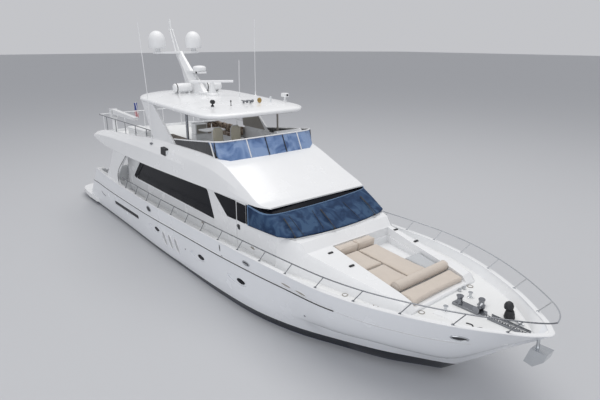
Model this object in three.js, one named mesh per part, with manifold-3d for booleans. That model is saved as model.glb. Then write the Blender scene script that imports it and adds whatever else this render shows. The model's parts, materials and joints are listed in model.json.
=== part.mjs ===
// A raised-pilothouse motor yacht, about 29 m long, floating at its waterline.
// Millimetres. +X forward, +Y port, +Z up. Origin on the centreline at the waterline, amidships.
import * as THREE from 'three';
import { mergeVertices } from 'three/addons/utils/BufferGeometryUtils.js';
import Module from 'manifold-3d';

const wasm = await Module();
wasm.setup();

// Driving dimensions. Heights are given from the datum plane, which lies DATUM_Z above the water.
const DATUM_Z = 420;
const GAP = 0.3;
const BEARING = 0.9;
const CAP_WIDTH = 130;
const DECK_EDGE = 110;
const SOLE_Z = 1150;
const TREAD = 12;
const TRANSOM_TOP_X = -12200;
const TRANSOM_SLOPE = 0.9;
const HOUSE_HALF = 2500;
const HOUSE_AFT_X = -8300;
const WALL = 90;
const UPPER_UNDER_Z = 3720;
const FLY_FLOOR_Z = 4120;
const PLATFORM_TOP_Z = 80;
const PROP_Y = 1150;
const WINDSCREEN_FOOT_Z = 2970;
const WRAP_X = 3250;
const ROOF_SLOPE = 0.031;
const CHAIR = { x: -1050, stbdY: -950, centreY: -50, postZ: 4690 };
const GATE = { x: -11820, y: 2250, half: 350, thickness: 40 };
const DOOR = { x0: 2446, x1: 3100, z0: 1880, z1: 3610, thickness: 45 };
const DOME = { x: -6770, y: 980, z: 8690 };
const RADOME = { x: -4420, z: 7830 };
const RADAR = { x: -3300, z: 7420 };
const RAFT = { x: -4700, y: 800, lift: 250, radius: 215, half: 450 };
const LAMP = { x: -400, y: -1660, footZ: 6690 };
const DAVIT = { x: -11150, y: -2000, postZ: 5000, pinZ: 5400, pinRadius: 20 };
const RAIL = {
  lean: 330,
  height: 490,
  posts: [-7350, -6020, -4680, -3340, -2000, -660, 680, 2020, 3360, 4700, 6040, 7380, 8700, 9980, 11190, 12260],
};
const RECESS = { aftX: 6050, foreX: 9950, aftZ: 2290, foreZ: 2050, aftStbd: -965, foreStbd: -1440, aftPort: 1850, forePort: 1160 };
const PAD_MIDDLE = 740;
const WELL_END_X = 7700;
const SHAFT = { x: -11500, z: -1500, slope: 0.1557, radius: 45, topX: -7800 };
const RUDDER = { x: -12900, chord: 620, stock: 45 };

// Hull sections from the transom to the stem.
// sheer: rail at deck edge, chine: knuckle low on the side, bilge: bottom corner, keel: centreline,
// flare: bend of the topside.
const STATIONS = [
  { x: -12100, sheerY: 3020, sheerZ: 2050, chineY: 2920, chineZ: -470, bilgeY: 2800, bilgeZ: -620, keelZ: -1020, flare: 0.45 },
  { x: -10000, sheerY: 3120, sheerZ: 1980, chineY: 2865, chineZ: -470, bilgeY: 2790, bilgeZ: -620, keelZ: -1270, flare: 0.45 },
  { x: -7500, sheerY: 3160, sheerZ: 1930, chineY: 2885, chineZ: -470, bilgeY: 2810, bilgeZ: -620, keelZ: -1420, flare: 0.5 },
  { x: -4000, sheerY: 3170, sheerZ: 1920, chineY: 2930, chineZ: -460, bilgeY: 2850, bilgeZ: -620, keelZ: -1540, flare: 0.5 },
  { x: -1000, sheerY: 3170, sheerZ: 1980, chineY: 2975, chineZ: -170, bilgeY: 2880, bilgeZ: -600, keelZ: -1600, flare: 0.6 },
  { x: 1800, sheerY: 3160, sheerZ: 2060, chineY: 2990, chineZ: 150, bilgeY: 2860, bilgeZ: -500, keelZ: -1600, flare: 0.8 },
  { x: 4000, sheerY: 3140, sheerZ: 2130, chineY: 2900, chineZ: 270, bilgeY: 2670, bilgeZ: -500, keelZ: -1570, flare: 1 },
  { x: 5800, sheerY: 3080, sheerZ: 2180, chineY: 2560, chineZ: 355, bilgeY: 2210, bilgeZ: -500, keelZ: -1500, flare: 0.85 },
  { x: 7400, sheerY: 2970, sheerZ: 2220, chineY: 2010, chineZ: 410, bilgeY: 1500, bilgeZ: -500, keelZ: -1370, flare: 0.5 },
  { x: 8700, sheerY: 2710, sheerZ: 2250, chineY: 1410, chineZ: 480, bilgeY: 900, bilgeZ: -500, keelZ: -1130, flare: 0.45 },
  { x: 9800, sheerY: 2320, sheerZ: 2270, chineY: 860, chineZ: 460, bilgeY: 160, bilgeZ: -450, keelZ: -600, flare: 0.5 },
  { x: 10700, sheerY: 1890, sheerZ: 2275, chineY: 400, chineZ: 520, bilgeY: 120, bilgeZ: 260, keelZ: 165, flare: 0.55 },
  { x: 11500, sheerY: 1420, sheerZ: 2280, chineY: 240, chineZ: 1100, bilgeY: 80, bilgeZ: 970, keelZ: 885, flare: 0.6 },
  { x: 12200, sheerY: 900, sheerZ: 2280, chineY: 120, chineZ: 1660, bilgeY: 40, bilgeZ: 1570, keelZ: 1530, flare: 0.8 },
  { x: 12700, sheerY: 480, sheerZ: 2280, chineY: 60, chineZ: 2035, bilgeY: 20, bilgeZ: 1985, keelZ: 1965, flare: 1 },
  { x: 12950, sheerY: 160, sheerZ: 2280, chineY: 30, chineZ: 2215, bilgeY: 10, bilgeZ: 2195, keelZ: 2185, flare: 1 },
];

const COLOURS = {
  gelcoat: { color: 0xf2f2f0, roughness: 0.25, metalness: 0 },
  glass: { color: 0x14181f, roughness: 0.08, metalness: 0 },
  tint: { color: 0x24405f, roughness: 0.08, metalness: 0 },
  steel: { color: 0xc8ccd0, roughness: 0.2, metalness: 1 },
  bronze: { color: 0xa9843e, roughness: 0.35, metalness: 1 },
  cushion: { color: 0xb7a994, roughness: 0.9, metalness: 0 },
  cream: { color: 0xe6dfcf, roughness: 0.7, metalness: 0 },
  brown: { color: 0x5a4433, roughness: 0.6, metalness: 0 },
  dark: { color: 0x222428, roughness: 0.6, metalness: 0 },
};

const yacht = new THREE.Group();

// Shape helpers

function vec(x, y, z) {
  return new THREE.Vector3(x, y, z);
}

function lerp(a, b, t) {
  return a + (b - a) * t;
}

// Value of one named column of a table at x, straight between its rows.
function along(table, x, column) {
  const last = table.length - 1;
  let i = 0;
  while (i < last - 1 && table[i + 1].x < x) {
    i += 1;
  }
  const t = (x - table[i].x) / (table[i + 1].x - table[i].x);
  return lerp(table[i][column], table[i + 1][column], THREE.MathUtils.clamp(t, 0, 1));
}

// Triangles over a ring, turned the way the ring runs, or the other way when flipped.
function capFaces(ring, start, plane, flipped) {
  const flat = ring.map((p) => new THREE.Vector2(p[plane[0]], p[plane[1]]));
  const ringTurn = Math.sign(THREE.ShapeUtils.area(flat));
  return THREE.ShapeUtils.triangulateShape(flat, []).map(([a, b, c]) => {
    const turn = Math.sign(THREE.ShapeUtils.area([flat[a], flat[b], flat[c]]));
    const same = (turn === ringTurn) !== flipped;
    return same ? [start + a, start + b, start + c] : [start + a, start + c, start + b];
  });
}

// Closed skin over rings of equal length, capped at both ends.
// capPlane names the two coordinates in which a cap is laid flat.
// The faces after the ring points in crossed are split along their other diagonal.
function loft(rings, capPlane, crossed = []) {
  const count = rings[0].length;
  const points = rings.flat();
  const faces = [];
  for (let r = 0; r < rings.length - 1; r += 1) {
    for (let i = 0; i < count; i += 1) {
      const a = r * count + i;
      const b = r * count + ((i + 1) % count);
      if (crossed.includes(i)) {
        faces.push([a, b, a + count], [b, b + count, a + count]);
      } else {
        faces.push([a, b, b + count], [a, b + count, a + count]);
      }
    }
  }
  const lastStart = (rings.length - 1) * count;
  faces.push(...capFaces(rings[0], 0, capPlane, true));
  faces.push(...capFaces(rings[rings.length - 1], lastStart, capPlane, false));
  return skin(points, faces);
}

// Geometry from points and triangles, turned so that its volume is positive.
function skin(points, faces) {
  let volume = 0;
  for (const [a, b, c] of faces) {
    volume += points[a].dot(new THREE.Vector3().crossVectors(points[b], points[c]));
  }
  const positions = [];
  for (const face of faces) {
    const order = volume > 0 ? face : [face[0], face[2], face[1]];
    for (const i of order) {
      positions.push(points[i].x, points[i].y, points[i].z);
    }
  }
  const geometry = new THREE.BufferGeometry();
  geometry.setAttribute('position', new THREE.Float32BufferAttribute(positions, 3));
  return geometry;
}

// Manifold solid from a closed geometry.
function solid(geometry) {
  const bare = geometry.clone();
  bare.deleteAttribute('normal');
  bare.deleteAttribute('uv');
  const merged = mergeVertices(bare, 0.01);
  return new wasm.Manifold(new wasm.Mesh({
    numProp: 3,
    vertProperties: new Float32Array(merged.attributes.position.array),
    triVerts: new Uint32Array(merged.index.array),
  }));
}

function toGeometry(body) {
  const mesh = body.getMesh();
  const geometry = new THREE.BufferGeometry();
  geometry.setAttribute('position', new THREE.BufferAttribute(new Float32Array(mesh.vertProperties), 3));
  geometry.setIndex(new THREE.BufferAttribute(new Uint32Array(mesh.triVerts), 1));
  return geometry;
}

function join(geometries) {
  return toGeometry(geometries.map(solid).reduce((whole, next) => whole.add(next)));
}

function cut(geometry, tools) {
  return toGeometry(tools.map(solid).reduce((whole, tool) => whole.subtract(tool), solid(geometry)));
}

// A piece with its foot cut to the surface that carries it, a hair above it.
function seated(geometry, carrier) {
  return cut(geometry, [carrier.clone().translate(0, 0, GAP)]);
}

function shapeOf(points) {
  return new THREE.Shape(points.map(([a, b]) => new THREE.Vector2(a, b)));
}

// Upright prism of a plan outline [x, y] between two heights.
function planPrism(points, z0, z1) {
  const geometry = new THREE.ExtrudeGeometry(shapeOf(points), { depth: z1 - z0, bevelEnabled: false });
  return geometry.translate(0, 0, z0);
}

// Prism of a side outline [x, z] between two y values.
function sidePrism(points, y0, y1) {
  const geometry = new THREE.ExtrudeGeometry(shapeOf(points), { depth: y1 - y0, bevelEnabled: false });
  return geometry.rotateX(Math.PI / 2).translate(0, y1, 0);
}

function box(x0, x1, y0, y1, z0, z1) {
  const geometry = new THREE.BoxGeometry(x1 - x0, y1 - y0, z1 - z0);
  return geometry.translate((x0 + x1) / 2, (y0 + y1) / 2, (z0 + z1) / 2);
}

function circle(radius, sides) {
  const points = [];
  for (let i = 0; i < sides; i += 1) {
    const angle = (2 * Math.PI * i) / sides;
    points.push([radius * Math.cos(angle), radius * Math.sin(angle)]);
  }
  return points;
}

// Round bar through points, straight between them, with flat ends.
function bar(points, radius, sides = 8) {
  const last = points.length - 1;
  const rings = points.map((point, i) => {
    const back = point.clone().sub(points[Math.max(i - 1, 0)]).normalize();
    const ahead = points[Math.min(i + 1, last)].clone().sub(point).normalize();
    const along = back.add(ahead).normalize();
    const across = vec(0, 0, 1).cross(along);
    if (across.length() < 0.3) {
      across.copy(vec(0, 1, 0).cross(along));
    }
    across.normalize();
    const up = along.clone().cross(across);
    return circle(radius, sides).map(([a, b]) => point.clone().addScaledVector(across, a).addScaledVector(up, b));
  });
  const faces = [];
  for (let r = 0; r < last; r += 1) {
    for (let i = 0; i < sides; i += 1) {
      const a = r * sides + i;
      const b = r * sides + ((i + 1) % sides);
      faces.push([a, b, b + sides], [a, b + sides, a + sides]);
    }
  }
  for (let i = 1; i < sides - 1; i += 1) {
    const end = last * sides;
    faces.push([0, i + 1, i], [end, end + i, end + i + 1]);
  }
  return skin(rings.flat(), faces);
}

// Solid of revolution about a vertical axis from [radius, z] pairs that start and end on the axis.
function turned(profile, sides = 24) {
  const points = profile.map(([radius, z]) => new THREE.Vector2(radius, z));
  return new THREE.LatheGeometry(points, sides).rotateX(Math.PI / 2);
}

function mirrorY(points) {
  return points.map(([x, y]) => [x, -y]);
}

// Closed outline that is the same on both sides of the centreline, from its port half.
function bothSides(portHalf) {
  return [...portHalf, ...mirrorY(portHalf).reverse()].filter(([x, y], i, all) => {
    const [px, py] = all[(i + all.length - 1) % all.length];
    return Math.hypot(x - px, y - py) > 1;
  });
}

function place(name, geometry, finish) {
  const mesh = new THREE.Mesh(geometry.clone().translate(0, 0, DATUM_Z), new THREE.MeshStandardMaterial(COLOURS[finish]));
  mesh.name = name;
  yacht.add(mesh);
  return mesh;
}

const SIDES = [{ side: 'port', s: 1 }, { side: 'stbd', s: -1 }];

// Hull

function deckZ(x) {
  return along([
    { x: -9000, z: 1600 }, { x: -4000, z: 1620 }, { x: 0, z: 1700 },
    { x: 4000, z: 1830 }, { x: 7000, z: 1930 }, { x: 13000, z: 2000 },
  ], x, 'z');
}

function topsideY(station, z) {
  const t = THREE.MathUtils.clamp((z - station.chineZ) / (station.sheerZ - station.chineZ), 0, 1);
  return station.chineY + (station.sheerY - station.chineY) * t ** station.flare;
}

function hullRing(station, raked) {
  const half = [[0, station.keelZ], [station.bilgeY, station.bilgeZ], [station.chineY, station.chineZ]];
  for (const t of [0.2, 0.45, 0.72, 1]) {
    const z = lerp(station.chineZ, station.sheerZ, t);
    half.push([topsideY(station, z), z]);
  }
  const x = (z) => (raked ? TRANSOM_TOP_X - (station.sheerZ - Math.max(z, -DATUM_Z)) * TRANSOM_SLOPE : station.x);
  const port = half.map(([y, z]) => vec(x(z), y, z));
  const stbd = half.slice(1).reverse().map(([y, z]) => vec(x(z), -y, z));
  return [...port, ...stbd];
}

function deckWell() {
  const rows = STATIONS.filter((row) => row.x > -8700 && row.x < 12500);
  const stations = [{ ...rows[0], x: -8600 }, ...rows, { ...STATIONS[13], x: 12500, sheerY: 620 }];
  const rings = stations.map((row) => {
    const z = deckZ(row.x);
    const floorY = Math.max(topsideY(row, z) - DECK_EDGE, 60);
    const topY = row.sheerY - CAP_WIDTH;
    const edgeY = Math.min(floorY, topY);
    const top = row.sheerZ + 300;
    return [
      vec(row.x, -edgeY, z), vec(row.x, edgeY, z), vec(row.x, topY, row.sheerZ),
      vec(row.x, topY, top), vec(row.x, -topY, top), vec(row.x, -topY, row.sheerZ),
    ];
  });
  return loft(rings, ['y', 'z']);
}

const houseOutline = bothSides([
  [HOUSE_AFT_X, HOUSE_HALF], [4970, HOUSE_HALF], [5450, 2110], [5640, 1100], [5700, 0],
].reverse());

function grown(points, amount) {
  return points.map(([x, y]) => [x + Math.sign(x) * amount, y + Math.sign(y) * amount]);
}

// Hull with its decks sunk in, and a raised tread panel on the cockpit sole.
function hull() {
  const rings = STATIONS.map((row, i) => hullRing(row, i === 0));
  const cockpit = box(-11800, -8300, -2860, 2860, SOLE_Z, 2600);
  const houseFloor = planPrism(grown(houseOutline, 1), SOLE_Z, 2600);
  const sternWay = SIDES.map(({ s }) => box(-14000, -11790, s * GATE.y - GATE.half, s * GATE.y + GATE.half, SOLE_Z, 2600));
  const shaftBores = SIDES.map(({ s }) => bar([shaftPoint(SHAFT.topX + 60, s), shaftPoint(-9000, s)], SHAFT.radius + BEARING, 24));
  const stockBores = SIDES.map(({ s }) => bar(
    [vec(RUDDER.x, s * PROP_Y, -1220), vec(RUDDER.x, s * PROP_Y, -660)], RUDDER.stock + BEARING, 24));
  const body = cut(loft(rings, ['y', 'z']), [deckWell(), cockpit, houseFloor, ...sternWay, ...shaftBores, ...stockBores]);
  return join([body, box(-9400, -8420, -1900, 1900, SOLE_Z - 20, SOLE_Z + TREAD)]);
}

// Swim platform with a step on each side up to the cockpit gates.
function swimPlatform() {
  const foot = TRANSOM_TOP_X - (STATIONS[0].sheerZ - PLATFORM_TOP_Z) * TRANSOM_SLOPE;
  const outline = bothSides([
    [foot - 2250, 0], [foot - 2220, 1500], [foot - 2120, 2400], [foot - 1850, 2820], [foot - 1300, 3020],
    [foot - 250, 3080], [foot + 1200, 3080], [foot + 1380, 2960], [foot + 1400, 2700],
  ]);
  const slab = planPrism(outline, PLATFORM_TOP_Z - 260, PLATFORM_TOP_Z);
  const steps = [];
  for (const s of [1, -1]) {
    for (const top of [350, 615, 880]) {
      const y = s * GATE.y;
      const riser = TRANSOM_TOP_X - (STATIONS[0].sheerZ - top) * TRANSOM_SLOPE - 350;
      steps.push(box(riser, foot + 1200, y - 340, y + 340, PLATFORM_TOP_Z - 50, top));
    }
  }
  const whole = join([slab, ...steps]);
  const rings = STATIONS.slice(0, 2).map((row, i) => hullRing(row, i === 0));
  const hullEnd = loft(rings, ['y', 'z']).scale(1, 1.0001, 1).translate(-0.6, 0, 0);
  return cut(whole, [hullEnd]);
}

// Outline with its corners rounded by short curves.
function softened(points, radius, steps = 3) {
  const count = points.length;
  return points.flatMap(([x, y], i) => {
    const [px, py] = points[(i + count - 1) % count];
    const [nx, ny] = points[(i + 1) % count];
    const back = Math.min(radius / Math.hypot(px - x, py - y), 0.45);
    const ahead = Math.min(radius / Math.hypot(nx - x, ny - y), 0.45);
    const start = [lerp(x, px, back), lerp(y, py, back)];
    const end = [lerp(x, nx, ahead), lerp(y, ny, ahead)];
    const arc = [];
    for (let k = 0; k <= steps; k += 1) {
      const t = k / steps;
      arc.push([
        lerp(lerp(start[0], x, t), lerp(x, end[0], t), t),
        lerp(lerp(start[1], y, t), lerp(y, end[1], t), t),
      ]);
    }
    return arc;
  });
}

// Leaf with a round hinge edge that turns in its jamb, seen in plan along X from the pivot.
function hingedLeaf(length, thickness, z0, z1) {
  const radius = thickness / 2;
  const nose = turned([[0, z0], [radius, z0], [radius, z1], [0, z1]], 24);
  return join([box(-length, 0, -radius, radius, z0, z1), nose]);
}

// Transom gate, hinged at its outer edge and opening into the cockpit.
function transomGate(s) {
  const pivotY = GATE.y + GATE.half - GATE.thickness / 2 - GAP;
  const leaf = hingedLeaf(GATE.half * 2 - GATE.thickness, GATE.thickness, SOLE_Z + 12, 1960);
  return leaf.rotateZ((s * Math.PI) / 2).translate(GATE.x, s * pivotY, 0);
}

function cockpitSettee() {
  const seat = box(-11750, -11050, -1400, 1400, SOLE_Z + GAP, 1600);
  const back = box(-11750, -11580, -1400, 1400, 1500, 1980);
  return join([seat, back]);
}

function cockpitTable() {
  const foot = turned([[0, SOLE_Z + GAP], [260, SOLE_Z + GAP], [260, SOLE_Z + 30], [0, SOLE_Z + 30]], 12);
  const post = turned([[0, SOLE_Z + 20], [60, SOLE_Z + 20], [60, 1880], [0, 1880]], 12);
  const top = planPrism(softened([[-400, -750], [400, -750], [400, 750], [-400, 750]], 150), 1860, 1900);
  return join([foot, post, top]).translate(-9950, 0, 0);
}

// Deckhouse: outer walls with the side windows, side doors and aft doorway cut.
function house() {
  const shell = planPrism(houseOutline, SOLE_Z + GAP, UPPER_UNDER_Z - GAP);
  const inside = planPrism(bothSides([
    [5610, 0], [5550, 1080], [5380, 2050], [4935, HOUSE_HALF - WALL], [HOUSE_AFT_X + WALL, HOUSE_HALF - WALL],
  ]), 0, 5000);
  const aboveSill = sidePrism([
    [WRAP_X, 2860], [4970, WINDSCREEN_FOOT_Z], [6500, WINDSCREEN_FOOT_Z], [6500, 4500], [WRAP_X, 4500],
  ], -3000, 3000);
  const saloonWindow = sidePrism(softened([[-7350, 2450], [820, 2430], [330, 3560], [-6450, 3560]], 220), -3000, 3000);
  const bridgeWindow = sidePrism(softened([[1820, 2830], [2330, 2845], [2330, 3600], [930, 3580]], 120), -3000, 3000);
  const sideDoors = box(DOOR.x0 - 20, DOOR.x1 + GAP, -3000, 3000, DOOR.z0 - 6, DOOR.z1 + 6);
  const aftDoorway = box(HOUSE_AFT_X - 100, HOUSE_AFT_X + 200, -780, 780, SOLE_Z + 40, 3300);
  return cut(shell, [inside, aboveSill, saloonWindow, bridgeWindow, sideDoors, aftDoorway]);
}

// Bonded glass lying on the inside of the house wall, behind both side windows.
function sideGlass(s) {
  const inner = HOUSE_HALF - WALL - GAP - 20;
  const outline = [[-7600, 2360], [2390, 2360], [2390, 3690], [-7600, 3690]];
  return s > 0 ? sidePrism(outline, inner, inner + 20) : sidePrism(outline, -inner - 20, -inner);
}

// Side door of the pilothouse, with its window cut. It hinges on its forward edge.
function sideDoor(s) {
  const radius = DOOR.thickness / 2;
  const window = softened([
    [DOOR.x0 + 70, 2850], [DOOR.x1 - 70, 2860], [DOOR.x1 - 70, 3540], [DOOR.x0 + 70, 3540],
  ], 80);
  const leaf = hingedLeaf(DOOR.x1 - radius - DOOR.x0, DOOR.thickness, DOOR.z0, DOOR.z1);
  return cut(leaf.translate(DOOR.x1 - radius, s * (HOUSE_HALF - 10 - radius), 0), [sidePrism(window, -3000, 3000)]);
}

// Sliding glass leaf inside the saloon's aft doorway.
function saloonDoor(s) {
  const x0 = HOUSE_AFT_X + WALL + 6;
  const [y0, y1] = s > 0 ? [3, 830] : [-830, -3];
  return box(x0, x0 + 40, y0, y1, SOLE_Z + GAP, 3360);
}

// Pilothouse windscreen: raked panes on the front and the forward ends of the sides.
function windscreen() {
  const half = [
    { low: [WRAP_X + 20, 2495], high: [WRAP_X + 20, 2495], z: 2864 },
    { low: [4960, 2495], high: [3830, 2420], z: WINDSCREEN_FOOT_Z + 3 },
    { low: [5435, 2105], high: [4130, 2180], z: WINDSCREEN_FOOT_Z + 3 },
    { low: [5625, 1095], high: [4240, 1100], z: WINDSCREEN_FOOT_Z + 3 },
    { low: [5685, 0], high: [4270, 0], z: WINDSCREEN_FOOT_Z + 3 },
  ];
  return paneStrip(half, UPPER_UNDER_Z - GAP, 16);
}

// Bent glass standing on its lower line, the same on both sides of the centreline.
// Its inner faces are split as the outer ones are, so that a twisted pane keeps its thickness.
function paneStrip(half, topZ, thickness) {
  const ring = (row, s) => {
    const top = row.topZ ?? topZ;
    const dy = s * Math.sign(row.low[1]) * thickness * 0.7;
    const dx = thickness * 0.7;
    return [
      vec(row.low[0], s * row.low[1], row.z), vec(row.high[0], s * row.high[1], top),
      vec(row.high[0] - dx, s * row.high[1] - dy, top), vec(row.low[0] - dx, s * row.low[1] - dy, row.z),
    ];
  };
  const port = half.map((row) => ring(row, 1));
  const stbd = half.slice(0, -1).reverse().map((row) => ring(row, -1));
  return loft([...port, ...stbd], ['y', 'z'], [2]);
}

// Raked wing between the side deck rail and the upper deck, beside the cockpit.
function sideWing(s) {
  const capZ = (x) => along(STATIONS, x, 'sheerZ') + GAP;
  const outline = [
    [-10250, capZ(-10250)], [-10000, capZ(-10000)], [-8200, capZ(-8200)], [-8450, 2250], [-8330, 2500],
    [-8000, 2760], [-7450, 3250], [-6800, UPPER_UNDER_Z - 2 * GAP], [-8700, UPPER_UNDER_Z - 2 * GAP], [-9500, 2700],
  ];
  return s > 0 ? sidePrism(outline, 3000, 3070) : sidePrism(outline, -3070, -3000);
}

// Sections of the upper deck moulding: lower edge, two creases up its side, and the top edge.
const FLY_SECTIONS = [
  { x: -11900, edgeY: 3020, edgeZ: 4000, lowY: 2990, lowZ: 4090, highY: 2880, highZ: 4160, topY: 2750, topZ: 4250 },
  { x: -11000, edgeY: 3070, edgeZ: 3880, lowY: 2990, lowZ: 4200, highY: 2870, highZ: 4290, topY: 2680, topZ: 4430 },
  { x: -9500, edgeY: 3090, edgeZ: 3740, lowY: 2980, lowZ: 4290, highY: 2860, highZ: 4420, topY: 2660, topZ: 4530 },
  { x: -7000, edgeY: 3090, edgeZ: 3720, lowY: 2980, lowZ: 4360, highY: 2850, highZ: 4560, topY: 2630, topZ: 4700 },
  { x: -4700, edgeY: 3060, edgeZ: 3720, lowY: 2970, lowZ: 4410, highY: 2840, highZ: 4660, topY: 2600, topZ: 4900 },
  { x: -2400, edgeY: 2950, edgeZ: 3720, lowY: 2890, lowZ: 4380, highY: 2790, highZ: 4660, topY: 2560, topZ: 4970 },
  { x: 600, edgeY: 2760, edgeZ: 3720, lowY: 2720, lowZ: 4200, highY: 2660, highZ: 4550, topY: 2480, topZ: 4970 },
  { x: 1450, edgeY: 2700, edgeZ: 3720, lowY: 2670, lowZ: 4080, highY: 2600, highZ: 4400, topY: 2390, topZ: 4810 },
  { x: 3000, edgeY: 2600, edgeZ: 3720, lowY: 2580, lowZ: 3850, highY: 2530, highZ: 3980, topY: 2420, topZ: 4180 },
  { x: 3860, edgeY: 2500, edgeZ: 3720, lowY: 2490, lowZ: 3745, highY: 2475, highZ: 3785, topY: 2440, topZ: 3845 },
  { x: 4310, edgeY: 2280, edgeZ: 3720, lowY: 2276, lowZ: 3735, highY: 2272, highZ: 3750, topY: 2265, topZ: 3770 },
];

// Upper deck and flybridge moulding, with the sloping brow over the windscreen.
function upperDeck() {
  const rings = FLY_SECTIONS.map((row) => {
    const port = [[row.edgeY, row.edgeZ], [row.lowY, row.lowZ], [row.highY, row.highZ], [row.topY, row.topZ]];
    const stbd = port.map(([y, z]) => [-y, z]).reverse();
    return [...port, ...stbd].map(([y, z]) => vec(row.x, y, z));
  });
  const well = planPrism(bothSides([
    [1050, 0], [1030, 1900], [800, 2240], [600, 2330], [-2400, 2410], [-4700, 2450], [-11750, 2530],
  ]), FLY_FLOOR_Z, 6000);
  return cut(loft(rings, ['y', 'z']), [well]);
}

function flyTopZ(x) {
  return along(FLY_SECTIONS, x, 'topZ');
}

// Tinted wind deflector round the front of the flybridge.
function flyScreen() {
  const half = [
    { low: [-2230, 2500], high: [-2480, 2455], topZ: 5160 },
    { low: [-900, 2470], high: [-1100, 2450], topZ: 5310 },
    { low: [600, 2425], high: [450, 2430], topZ: 5490 },
    { low: [1150, 2330], high: [850, 2380], topZ: 5530 },
    { low: [1400, 2000], high: [1040, 1900], topZ: 5530 },
    { low: [1430, 0], high: [1070, 0], topZ: 5530 },
  ].map((row) => ({ ...row, z: flyTopZ(row.low[0]) - 30 }));
  return seated(paneStrip(half, 5530, 20), upperDeckShape);
}

function archLeg(s) {
  const outline = [[-4430, 4870], [-2300, 4900], [-2300, 4972], [-4200, 6480], [-5450, 6520]];
  const leg = s > 0 ? sidePrism(outline, 2465, 2560) : sidePrism(outline, -2560, -2465);
  return cut(seated(leg, upperDeckShape), [hardtopShape.clone().translate(0, 0, -GAP)]);
}

// Hardtop: crowned roof with a rounded rim, and its two forward posts.
function hardtop() {
  const half = [
    [800, 0], [770, 1700], [560, 2150], [-80, 2500], [-2500, 2570], [-5100, 2580], [-5800, 2480], [-6600, 2000],
    [-7150, 1000], [-7300, 0],
  ];
  const layers = [
    { z: 6400, inset: 130 }, { z: 6440, inset: 20 }, { z: 6520, inset: 0 }, { z: 6590, inset: 60 },
    { z: 6630, inset: 220 }, { z: 6720, inset: 950 }, { z: 6770, inset: 1700 },
  ];
  const centreX = -3250;
  const rings = layers.map(({ z, inset }) => bothSides(half).map(([x, y]) => {
    const px = centreX + (x - centreX) * (1 - inset / 4050);
    return vec(px, y * (1 - inset / 2580), z - ROOF_SLOPE * (px + 2500));
  }));
  const posts = SIDES.map(({ s }) => bar([vec(-1400, s * 2330, FLY_FLOOR_Z + GAP), vec(-1400, s * 2330, 6450)], 40, 10));
  const lampFoot = turned([[0, 6600], [75, 6600], [75, LAMP.footZ], [0, LAMP.footZ]], 16).translate(LAMP.x, LAMP.y, 0);
  return join([loft(rings, ['x', 'y']), lampFoot, ...posts]);
}

function roofZ(x) {
  return 6770 - ROOF_SLOPE * (x + 2500);
}

// Raked mast with its dome arms, radar shelf and light poles.
function mast() {
  const rows = [
    { z: roofZ(-4600) - 80, x0: -5430, x1: -3780, half: 280 },
    { z: 7300, x0: -5740, x1: -4420, half: 240 },
    { z: 7900, x0: -6080, x1: -5290, half: 190 },
    { z: 8500, x0: -6620, x1: -5990, half: 150 },
    { z: 8720, x0: -6700, x1: -6180, half: 120 },
  ];
  const rings = rows.map(({ z, x0, x1, half }) => [
    vec(x0, half * 0.6, z), vec(x0, -half * 0.6, z), vec(lerp(x0, x1, 0.5), -half, z),
    vec(x1, -half * 0.4, z), vec(x1, half * 0.4, z), vec(lerp(x0, x1, 0.5), half, z),
  ]);
  const foot = box(-5480, -3730, -330, 330, roofZ(-4600) - 80, roofZ(-5480) + 40);
  const arms = planPrism(bothSides([
    [-6150, 0], [-6250, 300], [-6560, 900], [-6620, 1180], [-6900, 1180], [-6950, 900], [-6750, 0],
  ]), DOME.z - 90, DOME.z);
  const shelf = box(-5450, RADOME.x + 340, -180, 180, RADOME.z - 90, RADOME.z);
  const poles = SIDES.map(({ s }) => bar([vec(-6560, s * 90, 8650), vec(-7150, s * 60, 9750)], 20, 6));
  const rung = bar([vec(-7150, -150, 9740), vec(-7150, 150, 9740)], 18, 6);
  const lamp = bar([vec(-7150, 0, 9735), vec(-7240, 0, 10250)], 28, 8);
  return seated(join([loft(rings, ['x', 'y']), foot, arms, shelf, ...poles, rung, lamp]), hardtopShape);
}

function satDome(s) {
  return turned([
    [0, 0], [140, 0], [120, 150], [330, 150], [385, 180], [405, 260], [405, 480], [390, 620], [340, 760], [250, 880],
    [130, 955], [0, 980],
  ], 20).translate(DOME.x, s * DOME.y, DOME.z + GAP);
}

function radome() {
  return turned([[0, 0], [260, 0], [305, 50], [310, 130], [290, 200], [180, 250], [0, 265]], 18)
    .translate(RADOME.x, 0, RADOME.z + GAP);
}

function radarPedestal() {
  const z = roofZ(RADAR.x);
  const stand = turned([
    [0, z - 60], [210, z - 60], [190, z + 90], [95, RADAR.z - 130], [95, RADAR.z - 70], [0, RADAR.z - 70],
  ], 14);
  return seated(stand.translate(RADAR.x, 0, 0), hardtopShape);
}

function radarArray() {
  const hub = turned([[0, RADAR.z - 70 + GAP], [90, RADAR.z - 70 + GAP], [90, RADAR.z - 30], [0, RADAR.z - 30]], 12);
  const scanner = new THREE.ExtrudeGeometry(shapeOf(softened([[-70, -45], [70, -45], [50, 60], [-50, 60]], 25, 2)), {
    depth: 1960, bevelEnabled: false,
  }).translate(0, 0, -980).rotateX(Math.PI / 2).rotateZ(Math.PI / 2);
  return join([hub, scanner.translate(0, 0, RADAR.z)]).rotateZ(THREE.MathUtils.degToRad(59)).translate(RADAR.x, 0, 0);
}

// Liferaft canister lying across the roof on its cradle.
function liferaft(s) {
  const { half, radius, lift } = RAFT;
  const barrel = turned([
    [0, -half], [radius - 50, -half], [radius, 50 - half], [radius, half - 50], [radius - 50, half], [0, half],
  ], 16).rotateX(Math.PI / 2);
  const cradle = [-260, 260].map((y) => box(-180, 180, y - 40, y + 40, -lift - 90, -130));
  return seated(join([barrel, ...cradle]).translate(RAFT.x, s * RAFT.y, roofZ(RAFT.x) + lift), hardtopShape);
}

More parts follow.
